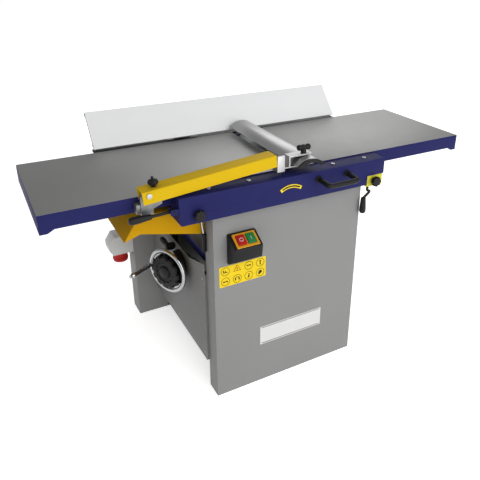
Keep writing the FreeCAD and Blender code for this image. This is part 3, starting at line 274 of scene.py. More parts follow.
GREY_POWDER = Finish("grey_powder_coat", (0.192, 0.192, 0.19), 0.5, second=(0.178, 0.178, 0.176), wear=0.25,
                     patch_scale=2.2, grain_scale=900, grain_strength=0.25, grain_tint=0.03)
PANEL_POWDER = Finish("panel_powder_coat", (0.158, 0.158, 0.157), 0.52, second=(0.145, 0.145, 0.144),
                      wear=0.25, patch_scale=2.6, grain_scale=900, grain_strength=0.25, grain_tint=0.03)
BLUE_ENAMEL = Finish("blue_enamel", (0.0135, 0.0145, 0.078), 0.48, second=(0.012, 0.013, 0.068),
                     specular=0.06, wear=0.55, patch_scale=7, grain_scale=260, grain_strength=0.22,
                     grain_tint=0.05, wear_colour=(0.07, 0.075, 0.16))
YELLOW_PAINT = Finish("yellow_paint", (0.49, 0.325, 0.006), 0.5, second=(0.46, 0.30, 0.006),
                      wear=0.4, specular=0.04, patch_scale=6, grain_scale=500, grain_strength=0.12,
                      grain_tint=0.02, wear_colour=(0.30, 0.24, 0.10))
HOOD_OCHRE = Finish("hood_ochre", (0.42, 0.225, 0.003), 0.5, second=(0.36, 0.19, 0.003),
                    wear=0.4, specular=0.03, patch_scale=5, grain_scale=500, grain_strength=0.12,
                    grain_tint=0.02, wear_colour=(0.25, 0.18, 0.06))
GROUND_IRON = Finish("ground_cast_iron", (0.30, 0.30, 0.297), 0.5, Look.METAL, second=(0.35, 0.35, 0.347),
                     patch_scale=3.2, patch_contrast=0.9, rough_swing=0.1, grain_scale=60,
                     grain_stretch=(1.0, 38.0, 1.0), grain_strength=0.12, grain_tint=0.1, dust=0.04)
BED_IRON = Finish("bed_cast_iron", (0.30, 0.30, 0.297), 0.36, Look.METAL, patch_scale=4,
                  grain_scale=60, grain_stretch=(30.0, 1.0, 1.0), grain_tint=0.12, dust=0.1)
PALE_YELLOW = Finish("pale_yellow_paint", (0.47, 0.43, 0.035), 0.45, second=(0.43, 0.39, 0.03), wear=0.4,
                     patch_scale=9, grain_scale=500, grain_tint=0.03, wear_colour=(0.3, 0.28, 0.12))
MILLED_STEEL = Finish("milled_steel", (0.52, 0.53, 0.54), 0.3, Look.METAL, patch_scale=14, grain_scale=90,
                      grain_stretch=(1.0, 14.0, 6.0), grain_tint=0.1)
CHROME = Finish("polished_chrome", (0.46, 0.465, 0.47), 0.15, Look.METAL, second=(0.33, 0.335, 0.34),
                patch_scale=20, rough_swing=0.06, grain_strength=0.03, grain_tint=0.02)
FENCE_ALUMINIUM = Finish("anodised_fence", (0.72, 0.725, 0.73), 0.42, second=(0.68, 0.685, 0.69),
                         patch_scale=2.5, grain_scale=50, grain_stretch=(1.0, 40.0, 40.0),
                         grain_strength=0.08, grain_tint=0.04, coat=0.25)
BLADE_ALUMINIUM = Finish("drawn_aluminium", (0.40, 0.40, 0.40), 0.34, Look.METAL, second=(0.34, 0.34, 0.34),
                         patch_scale=6, grain_scale=60, grain_stretch=(40.0, 1.0, 40.0), grain_strength=0.1,
                         grain_tint=0.12)
CAST_GREY = Finish("cast_zinc", (0.24, 0.24, 0.24), 0.45, Look.METAL, second=(0.17, 0.17, 0.17),
                   patch_scale=22, patch_contrast=0.4, grain_scale=220, grain_strength=0.2, wear=0.3)
ZINC = Finish("zinc_plate", (0.46, 0.46, 0.455), 0.4, Look.METAL, second=(0.38, 0.38, 0.38), patch_scale=22,
              patch_contrast=0.4, grain_scale=220, grain_strength=0.15)
BLACK_PLASTIC = Finish("black_plastic", (0.007, 0.007, 0.0074), 0.42, Look.PLASTIC,
                       second=(0.01, 0.01, 0.0104), patch_scale=15, grain_scale=1100, grain_strength=0.1,
                       grain_tint=0.1, specular=0.16, wear=0.25, wear_colour=(0.03, 0.03, 0.03))
DARK_STEEL = Finish("dark_painted_steel", (0.02, 0.02, 0.022), 0.45, second=(0.016, 0.016, 0.018), wear=0.4,
                    patch_scale=8, grain_scale=500, grain_strength=0.3)
BELT_RUBBER = Finish("belt_rubber", (0.018, 0.018, 0.018), 0.75, Look.PLASTIC, grain_scale=400,
                     grain_strength=0.4)
YELLOW_PLASTIC = Finish("yellow_plastic", (0.55, 0.25, 0.006), 0.36, Look.PLASTIC, second=(0.5, 0.23, 0.006),
                        grain_scale=900, grain_strength=0.1, grain_tint=0.02, wear=0.2)
RED_PLASTIC = Finish("red_plastic", (0.36, 0.012, 0.01), 0.3, Look.PLASTIC, grain_scale=900,
                     grain_strength=0.1, grain_tint=0.02)
GREEN_PLASTIC = Finish("green_plastic", (0.02, 0.16, 0.045), 0.3, Look.PLASTIC, grain_scale=900,
                       grain_strength=0.1, grain_tint=0.02)
LIGHT_CASE = Finish("light_case", (0.50, 0.50, 0.492), 0.45, Look.PLASTIC, second=(0.46, 0.46, 0.455),
                    grain_scale=800, grain_strength=0.15, grain_tint=0.02, wear=0.2)
LABEL_YELLOW = Finish("label_yellow", (0.60, 0.44, 0.008), 0.4, Look.PLASTIC, second=(0.57, 0.41, 0.008),
                      patch_scale=30, grain_scale=1500, grain_strength=0.04, grain_tint=0.01)
LABEL_WHITE = Finish("label_white", (0.50, 0.50, 0.495), 0.4, Look.PLASTIC, second=(0.47, 0.47, 0.466),
                     patch_scale=20, grain_scale=1500, grain_strength=0.04, grain_tint=0.01)
LABEL_BLACK = Finish("label_ink", (0.012, 0.011, 0.01), 0.4, Look.PLASTIC, grain_strength=0.04)
LABEL_RED = Finish("label_red", (0.40, 0.02, 0.01), 0.35, Look.PLASTIC, grain_strength=0.04)


# ---- modelling ----------------------------------------------------------------------


def clear_selection() -> None:
    """Leave edit mode and deselect every object."""
    if bpy.context.object and bpy.context.object.mode != "OBJECT":
        bpy.ops.object.mode_set(mode="OBJECT")
    bpy.ops.object.select_all(action="DESELECT")


class Shape:
    """A mesh object that is being modelled with Blender's own operators."""

    def __init__(self, obj: bpy.types.Object, name: str) -> None:
        """Take over a new object and name it and its mesh."""
        self.obj = obj
        obj.name = name
        obj.data.name = name

    @classmethod
    def block(cls, name: str, low: Vector, high: Vector) -> "Shape":
        """A box between two corners."""
        clear_selection()
        bpy.ops.mesh.primitive_cube_add(size=1, location=(low + high) / 2, scale=high - low)
        return cls(bpy.context.object, name).settle()

    @classmethod
    def lathe(cls, name: str, profile: Sequence[tuple[float, float]], sides: int = 48) -> "Shape":
        """A turned shape about local Z, extruded ring by ring and closed at both ends.

        Args:
            name: The object's name.
            profile: Radius and height of each ring, in millimetres.
            sides: How many faces go round.

        Returns:
            The new shape, at the origin.
        """
        clear_selection()
        radius, height = profile[0]
        bpy.ops.mesh.primitive_circle_add(vertices=sides, radius=radius / 1000,
                                          location=(0, 0, height / 1000), fill_type="NGON")
        shape = cls(bpy.context.object, name).settle()
        bpy.ops.object.mode_set(mode="EDIT")
        bpy.ops.mesh.select_all(action="SELECT")
        for far, level in profile[1:]:
            step = (0, 0, (level - height) / 1000)
            bpy.ops.mesh.extrude_region_move(TRANSFORM_OT_translate={"value": step})
            factor = max(far, 0.01) / max(radius, 0.01)
            bpy.ops.transform.resize(value=(factor, factor, 1), center_override=(0, 0, level / 1000))
            radius, height = max(far, 0.01), level
        bpy.ops.mesh.select_all(action="SELECT")
        bpy.ops.mesh.remove_doubles(threshold=0.00002)
        bpy.ops.mesh.normals_make_consistent(inside=False)
        bpy.ops.object.mode_set(mode="OBJECT")
        return shape

    @classmethod
    def tube(cls, name: str, points: Sequence[Vector], radius: float, smooth: bool = True) -> "Shape":
        """A round bar along a path.

        Args:
            name: The object's name.
            points: Places that the bar's centre line follows, in metres.
            radius: The bar's radius in millimetres.
            smooth: Whether the corners are rounded off.

        Returns:
            The new shape, as a mesh.
        """
        clear_selection()
        curve = bpy.data.curves.new(name, "CURVE")
        curve.dimensions = "3D"
        spline = curve.splines.new("NURBS" if smooth else "POLY")
        spline.points.add(len(points) - 1)
        for slot, point in zip(spline.points, points):
            slot.co = (*point, 1.0)
        if smooth:
            spline.order_u = 3
            spline.use_endpoint_u = True
            spline.resolution_u = 8
        curve.bevel_depth = radius / 1000
        curve.bevel_resolution = 5
        curve.use_fill_caps = True
        obj = bpy.data.objects.new(name, curve)
        bpy.context.collection.objects.link(obj)
        obj.select_set(True)
        bpy.context.view_layer.objects.active = obj
        bpy.ops.object.convert(target="MESH")
        return cls(bpy.context.object, name)

    @classmethod
    def ring(cls, name: str, big: float, small: float, sides: int = 72) -> "Shape":
        """A torus about local Z, its radii in millimetres."""
        clear_selection()
        bpy.ops.mesh.primitive_torus_add(major_radius=big / 1000, minor_radius=small / 1000,
                                         major_segments=sides, minor_segments=18)
        return cls(bpy.context.object, name).settle()

    @classmethod
    def of_node(cls, node: str) -> "Shape":
        """A merged copy of a CAD node's mesh with its flat faces made whole."""
        clear_selection()
        source = frame["nodes"][node]
        obj = bpy.data.objects.new(node, source.data.copy())
        bpy.context.collection.objects.link(obj)
        obj.select_set(True)
        bpy.context.view_layer.objects.active = obj
        obj.data.materials.clear()
        bpy.ops.object.mode_set(mode="EDIT")
        bpy.ops.mesh.select_all(action="SELECT")
        bpy.ops.mesh.remove_doubles(threshold=0.00001)
        bpy.ops.mesh.dissolve_limited(angle_limit=math.radians(0.5))
        bpy.ops.object.mode_set(mode="OBJECT")
        return cls(obj, node + "_skin")

    def settle(self) -> "Shape":
        """Put the object's place, turn and size into its mesh."""
        self.activate()
        bpy.ops.object.transform_apply(location=True, rotation=True, scale=True)
        return self

    def activate(self) -> None:
        """Make this the only selected object and the active one."""
        clear_selection()
        self.obj.select_set(True)
        bpy.context.view_layer.objects.active = self.obj

    def place(self, matrix: Matrix) -> "Shape":
        """Move the mesh by a matrix."""
        self.obj.matrix_world = matrix
        return self.settle()

    def edit(self, kind: str, chosen: Callable[..., bool], operator: Callable, **values) -> "Shape":
        """Run one edit-mode operator on chosen elements.

        Args:
            kind: "VERT", "EDGE" or "FACE".
            chosen: Says whether an element is worked on.
            operator: The bpy.ops.mesh operator.
            values: Its settings.

        Returns:
            This shape.
        """
        self.activate()
        bpy.ops.object.mode_set(mode="EDIT")
        bpy.ops.mesh.select_all(action="DESELECT")
        bpy.ops.mesh.select_mode(type=kind)
        mesh = bmesh.from_edit_mesh(self.obj.data)
        for element in {"VERT": mesh.verts, "EDGE": mesh.edges, "FACE": mesh.faces}[kind]:
            element.select = chosen(element)
        mesh.select_flush_mode()
        bmesh.update_edit_mesh(self.obj.data)
        operator(**values)
        bpy.ops.object.mode_set(mode="OBJECT")
        return self

    def lobes(self, count: int, factor: float, centre: Vector = Vector()) -> "Shape":
        """Pull the side between regular lobes inwards, about local Z."""
        def between(vert: bmesh.types.BMVert) -> bool:
            """Whether a vertex stands in a hollow of the edge."""
            return math.cos(count * math.atan2(vert.co.y - centre.y, vert.co.x - centre.x)) < -0.2
        return self.edit("VERT", between, bpy.ops.transform.resize, value=(factor, factor, 1),
                         center_override=tuple(centre))

    def bevel(self, width: float, segments: int = 2, angle: float = 35) -> "Shape":
        """Round the edges and mark the rounded faces as worn.

        Args:
            width: The rounding's width in millimetres.
            segments: How many faces cross it.
            angle: Edges sharper than this many degrees are rounded.

        Returns:
            This shape.
        """
        self.activate()
        mesh = self.obj.data
        while len(mesh.materials) < 2:
            mesh.materials.append(None)
        tool = self.obj.modifiers.new("round", "BEVEL")
        tool.width = width / 1000
        tool.segments = segments
        tool.limit_method = "ANGLE"
        tool.angle_limit = math.radians(angle)
        tool.miter_outer = "MITER_ARC"
        tool.material = 1
        bpy.ops.object.modifier_apply(modifier="round")
        rounded = {face.index for face in mesh.polygons if face.material_index == 1}
        worn = mesh.attributes.new("worn", "FLOAT", "FACE")
        for index in rounded:
            worn.data[index].value = 1.0
        for face in mesh.polygons:
            face.material_index = 0
        mesh.materials.clear()
        return self

    def smooth(self, angle: float = 32) -> "Shape":
        """Shade smooth across edges flatter than an angle in degrees."""
        self.activate()
        bpy.ops.object.shade_smooth_by_angle(angle=math.radians(angle))
        return self

    def join(self, *others: "Shape") -> "Shape":
        """Take other shapes' meshes into this one."""
        self.activate()
        for other in others:
            other.obj.select_set(True)
        bpy.context.view_layer.objects.active = self.obj
        bpy.ops.object.join()
        return self

    def dress(self, finish: Finish,
              *more: tuple[Finish, Callable[[bpy.types.MeshPolygon], bool]]) -> "Shape":
        """Give the mesh its finish, and chosen faces another.

        Args:
            finish: The finish of the whole mesh.
            more: Pairs of a finish and a test for the faces that take it.

        Returns:
            This shape.
        """
        mesh = self.obj.data
        mesh.materials.clear()
        mesh.materials.append(finish.material())
        for index, (other, chosen) in enumerate(more, start=1):
            mesh.materials.append(other.material())
            for face in mesh.polygons:
                if chosen(face):
                    face.material_index = index
        return self

    def mount(self, body: str, slot: str, *nodes: str) -> bpy.types.Object:
        """Make the shape ride on a body and let it stand for CAD nodes."""
        self.obj.name = self.obj.name.replace("_skin", "_cover")
        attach(self.obj, body)
        if nodes:
            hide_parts(*nodes)
        LOG.info("%s rides on %s, %d faces", self.obj.name, body, len(self.obj.data.polygons))
        return self.obj


def skin(node: str, finish: Finish, width: float, *more, segments: int = 2) -> bpy.types.Object:
    """A CAD node's own shape with rounded edges and a finish.

    Args:
        node: The node's name.
        finish: The finish of the whole piece.
        width: The edges' rounding in millimetres.
        more: Pairs of a finish and a test for the faces that take it.
        segments: How many faces cross a rounding.

    Returns:
        The finished piece.
    """
    shape = Shape.of_node(node).bevel(width, segments).smooth().dress(finish, *more)
    return shape.mount(BODY_OF[node], SLOT_OF[node], node)


def runs_deep(edge: bpy.types.MeshEdge) -> bool:
    """Whether an edge runs from front to back."""
    return abs((edge.verts[0].co - edge.verts[1].co).normalized().y) > 0.9


def along(axis: Vector, origin: Vector) -> Matrix:
    """The matrix that takes local Z to an axis and the local origin to a point."""
    turn = Vector((0, 0, 1)).rotation_difference(axis.normalized())
    return Matrix.Translation(origin) @ turn.to_matrix().to_4x4()


# ---- cabinet ------------------------------------------------------------------------


@dataclass
class Cabinet:
    """Folded sheet cabinet: both shells, side panels, base and columns."""

    sheet_round: float = 1.6
    screw_radius: float = 4.0
    panel_screws: tuple[Point, ...] = ((-309, -180, 150), (-309, 350, 150), (-309, -180, 470),
                                       (-309, 350, 470), (-309, 90, 150))

    def build(self) -> None:
        """Make every piece of the cabinet."""
        for node in ("front_shell", "rear_shell"):
            skin(node, GREY_POWDER, self.sheet_round)
        for node in ("side_panel_left", "side_panel_right"):
            skin(node, PANEL_POWDER, 0.8)
        skin("base_plate", DARK_STEEL, 0.8)
        skin("guide_columns", CHROME, 0.8)
        self.screws()

    def screws(self) -> None:
        """Domed screws in the left and right side panels, each with a small recess."""
        for number, (x, y, z) in enumerate(self.panel_screws):
            for side, way in ((1, -1), (-1, 1)):
                head = Shape.lathe(f"panel_screw_{number}_{'l' if side > 0 else 'r'}",
                                   [(self.screw_radius, 0), (self.screw_radius, 0.8), (3.2, 1.8),
                                    (1.6, 2.3)], 20)
                head.edit("FACE", lambda f: f.normal.z > 0.95, bpy.ops.mesh.inset, thickness=0.0006,
                          depth=-0.0006)
                head.place(along(Vector((way, 0, 0)), at(side * x, y, z)))
                head.smooth().dress(ZINC).mount("cabinet", "bright_steel")


@dataclass
class Drive:
    """Castings, cutterhead, rollers, motor, belt and chains."""

    casting_round: float = 2.5

    def build(self) -> None:
        """Make every piece of the head and its drive."""
        for node in ("front_casting", "rear_casting"):
            skin(node, BLUE_ENAMEL, self.casting_round)
        for node in ("cutterhead", "cutter_knives", "cutter_pulley", "motor_pulley", "infeed_roller",
                     "outfeed_roller", "cutter_bearings", "kickback_shaft"):
            skin(node, MILLED_STEEL, 0.5)
        for node in ("motor", "hinge_brackets"):
            skin(node, DARK_STEEL, 1.2)
        skin("kickback_fingers", DARK_STEEL, 0.8)
        skin("drive_belt", BELT_RUBBER, 0.8)
        skin("drive_chains", DARK_STEEL, 0.3)


@dataclass
class ThicknessUnit:
    """Thickness table, its screw and spindle, the gearbox and the clamp handle."""

    bed_level: float = 0.5549
    lock_z: float = 468.0
    lock_y: float = 100.0
    rod_points: tuple[Point, ...] = ((-306, -205, 738), (-314, -205, 716), (-313, -205, 690),
                                     (-307, -205, 655))

    def build(self) -> None:
        """Make every piece of the lift."""
        skin("thickness_table", BLUE_ENAMEL, 1.5,
             (BED_IRON, lambda f: f.normal.z > 0.9 and f.center.z > self.bed_level))
        for node in ("elevating_screw", "side_spindle", "wheel_shaft"):
            skin(node, MILLED_STEEL, 0.5)
        skin("gearbox_housing", BLACK_PLASTIC, 2.5)
        self.lock()
        self.scale_rod()

    def scale_rod(self) -> None:
        """The bright bent rod with a dark grip at the front corner of the opening."""
        rod = Shape.tube("corner_rod", [at(*p) for p in self.rod_points], 4.0)
        rod.smooth(40).dress(CHROME).mount("cabinet", "chrome")
        grip = Shape.lathe("corner_rod_grip", [(5, 0), (8, 3), (8.5, 20), (7, 60), (8.5, 68), (3, 70)], 28)
        grip.place(along(Vector((-0.02, 0.0, -1)), at(-307, -205, 662))).smooth(40).dress(BLACK_PLASTIC)
        grip.mount("cabinet", "black_plastic")

    def lock(self) -> None:
        """The fat black clamp handle on its stud."""
        grip = Shape.lathe("thickness_lock_grip", [(4, 0), (8.5, 2), (10, 8), (10.5, 30), (11.5, 50),
                                                   (10, 64), (5, 72), (2, 74)], 32)
        grip.place(along(Vector((0, 1, 0.0)), at(-335, self.lock_y + 8, self.lock_z)))
        hub = Shape.lathe("thickness_lock_hub", [(13, 0), (15, 2), (15, 30), (13, 34), (6, 35), (6, 50)], 32)
        hub.place(along(Vector((1, 0, 0)), at(-346, self.lock_y, self.lock_z)))
        hub.join(grip).smooth().dress(BLACK_PLASTIC)
        hub.mount("thickness_lock", "black_plastic", "thickness_lock")


@dataclass
class Handwheel:
    """Chromed wheel on a slanted shaft, with a scalloped plate and a turning handle."""

    radius: float = 90.0
    rim: float = 9.0
    plate: float = 67.0
    centre: Point = (-375.0, 0.0, 425.0)
    turn: float = 27.0
    lobes: int = 12

    def outward(self) -> Vector:
        """The direction in which the shaft points away from the machine."""
        angle = math.radians(self.turn)
        return Vector((-math.cos(angle), -math.sin(angle), 0))

    def matrix(self) -> Matrix:
        """Local Z runs outward from the wheel's centre, with local Y upward."""
        z = self.outward()
        y = Vector((0, 0, 1))
        x = y.cross(z)
        turn = Matrix((x, y, z)).transposed().to_4x4()
        return Matrix.Translation(at(*self.centre)) @ turn

    def build(self) -> None:
        """Make the wheel, its plate and the handle."""
        rim = Shape.ring("handwheel_rim", self.radius - self.rim, self.rim)
        dish = Shape.lathe("dish", [(20, -18), (20, -6), (48, 2), (self.radius - self.rim - 2, 4),
                                    (self.radius - self.rim - 2, -1), (48, -4), (24, -12), (10, -16)], 72)
        boss = Shape.lathe("boss", [(9, 0), (8, 3), (8, 15), (4.2, 16), (4, 108), (7, 110), (7, 113),
                                    (3, 114)], 24)
        boss.place(Matrix.Translation(Vector((-(self.radius - self.rim) / 1000, 0, 0))))
        rim.join(dish, boss).place(self.matrix()).smooth(40).dress(CHROME)
        rim.mount("handwheel", "chrome", "handwheel")
        self.hub_plate()
        grip = Shape.lathe("handwheel_handle", [(6, 17), (8, 18), (8.6, 24), (8.4, 50), (9.6, 74),
                                                (10.6, 92), (10, 102), (6, 108), (4, 109)], 36)
        grip.place(self.matrix() @ Matrix.Translation(Vector((-(self.radius - self.rim) / 1000, 0, 0))))
        grip.smooth(40).dress(CHROME).mount("handwheel_grip", "chrome", "handwheel_grip")

    def hub_plate(self) -> None:
        """The black scalloped plate with a raised ring, in front of the dish."""
        plate = Shape.lathe("handwheel_plate", [(self.plate - 3, 8), (self.plate, 11), (self.plate, 17),
                                                (self.plate - 4, 21), (44, 22), (40, 18), (26, 17), (24, 22),
                                                (14, 25), (4, 26)], 144)
        plate.lobes(self.lobes, 0.9)
        plate.place(self.matrix()).smooth(40).dress(BLACK_PLASTIC)
        plate.mount("handwheel", "black_plastic", "handwheel_hub")


# ---- tables -------------------------------------------------------------------------


@dataclass
class Knob:
    """A lobed hand knob turned on a stud."""

    name: str
    node: str
    centre: Vector
    axis: Vector
    radius: float = 19.0
    lobes: int = 8
    stand: float = 0.3

    def build(self) -> None:
        """Make the knob with its neck and stud."""
        big = self.radius
        knob = Shape.lathe(self.name, [(9, self.stand), (10, 2), (9, 8), (big * 0.8, 9), (big, 12),
                                       (big, 20), (big * 0.93, 23.5), (big * 0.5, 25),
                                       (big * 0.2, 25.2)], 96)
        knob.edit("VERT", lambda v: v.co.z > 0.0085 and math.hypot(v.co.x, v.co.y) > big * 0.0007
                  and math.cos(self.lobes * math.atan2(v.co.y, v.co.x)) < -0.2,
                  bpy.ops.transform.resize, value=(0.86, 0.86, 1), center_override=(0, 0, 0))
        knob.place(along(self.axis, self.centre)).smooth(38).dress(BLACK_PLASTIC)
        knob.mount(BODY_OF[self.node], SLOT_OF[self.node], self.node)


@dataclass
class Tables:
    """Both surfacing tables, the front beam and everything bolted to them."""

    edge: float = 1.4
    handle_points: tuple[Point, ...] = ((84, -297, 817), (84, -330, 817), (84, -361, 815), (90, -363, 814),
                                        (110, -363, 813), (144, -363, 813), (178, -363, 813),
                                        (198, -363, 814), (204, -361, 815), (204, -330, 817),
                                        (204, -297, 817))
    crank_points: tuple[Point, ...] = ((318, -280, 756), (318, -280, 728), (318, -280, 722),
                                       (334, -280, 716), (312, -280, 700), (304, -280, 694),
                                       (304, -280, 690))
    lock_pivot: Point = (-434, -280, 803)

    def build(self) -> None:
        """Make every piece that folds up with the tables."""
        top = (GROUND_IRON, lambda f: f.center.z > 0.8485 and f.normal.z > 0.5)
        for node in ("outfeed_table", "infeed_table"):
            skin(node, BLUE_ENAMEL, self.edge, top)
        skin("front_beam", BLUE_ENAMEL, 2.0)
        skin("beam_screws", ZINC, 0.6)
        for node in ("outfeed_hinge_arms", "infeed_carrier"):
            skin(node, BLUE_ENAMEL, 2.0)
        skin("stop_block", PALE_YELLOW, 1.5)
        self.handle()
        self.levers()
        Knob("left_lock_knob", "lock_knob_left", at(-361, -297, 785), Vector((0, -1, 0))).build()
        Knob("right_lock_knob", "lock_knob_right", at(332, -293, 765), Vector((0, -1, 0))).build()

    def handle(self) -> None:
        """The black D handle with its foot pads."""
        bar = Shape.tube("pull_handle_bar", [at(*p) for p in self.handle_points], 9.5)
        for number, x in enumerate((84, 204)):
            pad = Shape.lathe(f"handle_pad_{number}", [(12, 0), (13, 1), (13, 4), (10, 7), (8, 12)], 32)
            bar.join(pad.place(along(Vector((0, -1, 0)), at(x, -297, 817))))
        bar.smooth(40).dress(BLACK_PLASTIC).mount("tables", "black_plastic", "pull_handle")

    def levers(self) -> None:
        """The table lock lever on the left and the cranked lever on the right."""
        tip = Vector((-1, 0, math.tan(math.radians(-2.0))))
        grip = Shape.lathe("table_lock_grip", [(5, 68), (8.5, 70), (9.5, 84), (12, 112), (12.2, 128),
                                               (9, 138), (4, 140)], 32)
        grip.place(along(tip, at(*self.lock_pivot)))
        bar = Shape.lathe("bar", [(3, 0), (5, 3), (5, 70)], 24).place(along(tip, at(*self.lock_pivot)))
        hub = Shape.lathe("hub", [(9, -7.7), (10, -6.7), (10, 6.7), (9, 7.7)], 32)
        hub.place(along(Vector((0, 1, 0)), at(*self.lock_pivot)))
        pin = Shape.lathe("pin", [(3.2, -14), (4, -13), (4, 13), (3.2, 14)], 20)
        pin.place(along(Vector((0, 1, 0)), at(*self.lock_pivot)))
        grip.join(bar, hub, pin).smooth(40).dress(BLACK_PLASTIC)
        grip.mount("table_lock_lever", "black_plastic", "table_lock_lever")
        crank = Shape.tube("infeed_crank", [at(*p) for p in self.crank_points], 5.0)
        grip = Shape.lathe("infeed_grip", [(6, 0), (9, 2), (10, 14), (12.3, 44), (12.3, 56), (9, 62),
                                           (3, 65)], 32)
        crank.join(grip.place(along(Vector((0, 0, -1)), at(304, -280, 696)))).smooth(40).dress(BLACK_PLASTIC)
        crank.mount("infeed_lever", "black_plastic", "infeed_lever")


# ---- fence and guard ----------------------------------------------------------------


@dataclass
class FenceUnit:
    """Leaning fence, its carriage, guide and clamp lever."""

    edge: float = 0.8

    def build(self) -> None:
        """Make every piece of the fence."""
        skin("fence_plate", FENCE_ALUMINIUM, self.edge, (BLACK_PLASTIC, lambda f: abs(f.normal.x) > 0.9))
        skin("fence_carriage", MILLED_STEEL, 0.8)
        skin("fence_guide", BLACK_PLASTIC, 1.0)
        # A thin black sheet lying flat behind the tables' back edge and under the fence: partly a dark cover
        # over the guide, partly painted shade of the gap under the fence.
        cover = Shape.block("guide_cover", at(-12, 228.6, 848.7), at(112, 273, 849.4)).bevel(0.3, 1)
        cover.smooth().dress(BLACK_PLASTIC).mount("tables", "black_plastic")
        skin("fence_clamp_lever", BLACK_PLASTIC, 1.5)


@dataclass
class BridgeGuard:
    """Folded arm with its bracket, and the arched blade with its clamp and knobs."""

    arm_pivot: Point = (-507.0, -259.5, 871.0)
    pitch: float = 5.4

    def build(self) -> None:
        """Make every piece of the guard."""
        skin("guard_arm", YELLOW_PAINT, 1.2,
             (ZINC, lambda f: f.center.x < -0.495 and f.center.y < -0.2875 - SHIFT and f.center.z < 0.885))
        skin("guard_bracket", CAST_GREY, 1.0)
        skin("blade_clamp", ZINC, 0.8)
        skin("guard_blade", BLADE_ALUMINIUM, 0.5, (BLACK_PLASTIC, lambda f: f.normal.y > 0.9))
        skin("blade_end_cap", BLACK_PLASTIC, 1.0)
        self.knobs()

    def knobs(self) -> None:
        """The five-lobed arm knob and the T-shaped blade knob."""
        angle = math.radians(self.pitch)
        up = Vector((-math.sin(angle), 0, math.cos(angle)))
        run = Vector((math.cos(angle), 0, math.sin(angle)))
        origin = at(*self.arm_pivot) + run * 0.025
        stem = Shape.lathe("arm_knob", [(4, 3), (4, 13), (8, 14.4), (8, 19), (11, 20), (15.5, 23), (16, 30),
                                        (13, 36), (5, 38), (4, 39), (4, 46), (3, 46.5)], 80)
        stem.edit("VERT", lambda v: 0.0205 < v.co.z < 0.0365 and math.hypot(v.co.x, v.co.y) > 0.012
                  and math.cos(5 * math.atan2(v.co.y, v.co.x)) < -0.1,
                  bpy.ops.transform.resize, value=(0.74, 0.74, 1), center_override=(0, 0, 0))
        stem.place(along(up, origin)).smooth(40).dress(BLACK_PLASTIC)
        stem.mount("guard_knob", "black_plastic", "guard_knob")
        post = Shape.lathe("blade_knob_wings", [(4, -6), (4, 0.3), (10, 0.5), (9, 10), (8.5, 15), (9.5, 24),
                                                (7, 28), (2, 29)], 36)
        post.place(along(Vector((0, 0, 1)), at(47, -253.5, 906)))
        for side in (-1, 1):
            wing = Shape.lathe("wing", [(8.5, 2), (8.5, 9), (10, 12), (10.4, 20), (8, 23.5), (3, 24.5)], 32)
            post.join(wing.place(along(Vector((side, 0, 0)), at(47, -253.5, 925))))
        post.smooth(40).dress(BLACK_PLASTIC).mount("blade_knob", "black_plastic", "blade_knob")


# ---- controls, hood and labels ------------------------------------------------------


@dataclass
class Controls:
    """Chip hood, switch, junction box and its inlet."""

    inlet: Point = (-452.0, 416.0, 282.0)
    switch: Point = (-200.0, -303.0, 656.0)
    slope: float = 29.745

    def build(self) -> None:
        """Make the hood and the electrical pieces."""
        skin("chip_hood", HOOD_OCHRE, 1.0)
        skin("switch_box", BLACK_PLASTIC, 3.0, segments=3)
        skin("switch_bezel", YELLOW_PLASTIC, 1.4)
        skin("stop_button", RED_PLASTIC, 1.8, segments=3)
        skin("start_button", GREEN_PLASTIC, 1.8, segments=3)
        skin("electrical_box", LIGHT_CASE, 3.0, segments=3)
        self.marks()
        self.socket()

    def marks(self) -> None:
        """Plain bars on the two buttons, a ring for off and a stroke for on."""
        angle = math.radians(self.slope)
        normal = Vector((0, -math.sin(angle), math.cos(angle)))
        centre = at(*self.switch)
        ring = Shape.ring("stop_mark", 6.5, 0.9, 32)
        ring.place(along(normal, centre + normal * 0.009 + Vector((-0.018, 0, 0))))
        ring.dress(LABEL_WHITE).mount("stop_button", "red_plastic")
        bar = Shape.lathe("start_mark", [(0.6, -7), (0.9, -6), (0.9, 6), (0.6, 7)], 12)
        slope = Vector((0, math.cos(angle), math.sin(angle)))
        bar.place(along(slope, centre + normal * 0.009 + Vector((0.018, 0, 0))))
        bar.dress(LABEL_WHITE).mount("start_button", "green_plastic")

    def socket(self) -> None:
        """The red five-pin inlet that points down."""
        shell = Shape.lathe("inlet_shell", [(27, 30), (27, 0), (29, -1), (31, 0), (32.5, 6), (33, 8),
                                            (33, 14), (31, 16), (31, 28), (33, 30), (33, 42)], 64)
        shell.place(Matrix.Translation(at(*self.inlet))).smooth(40).dress(RED_PLASTIC)
        shell.mount("cabinet", "red_plastic", "power_inlet")
        for number in range(5):
            angle = math.radians(72 * number)
            pin = Shape.lathe(f"inlet_pin_{number}", [(2.6, 6), (3.2, 8), (3.2, 30)], 16)
            spot = at(*self.inlet) + Vector((0.015 * math.cos(angle), 0.015 * math.sin(angle), 0))
            pin.place(Matrix.Translation(spot)).smooth(40).dress(MILLED_STEEL)
            pin.mount("cabinet", "bright_steel")


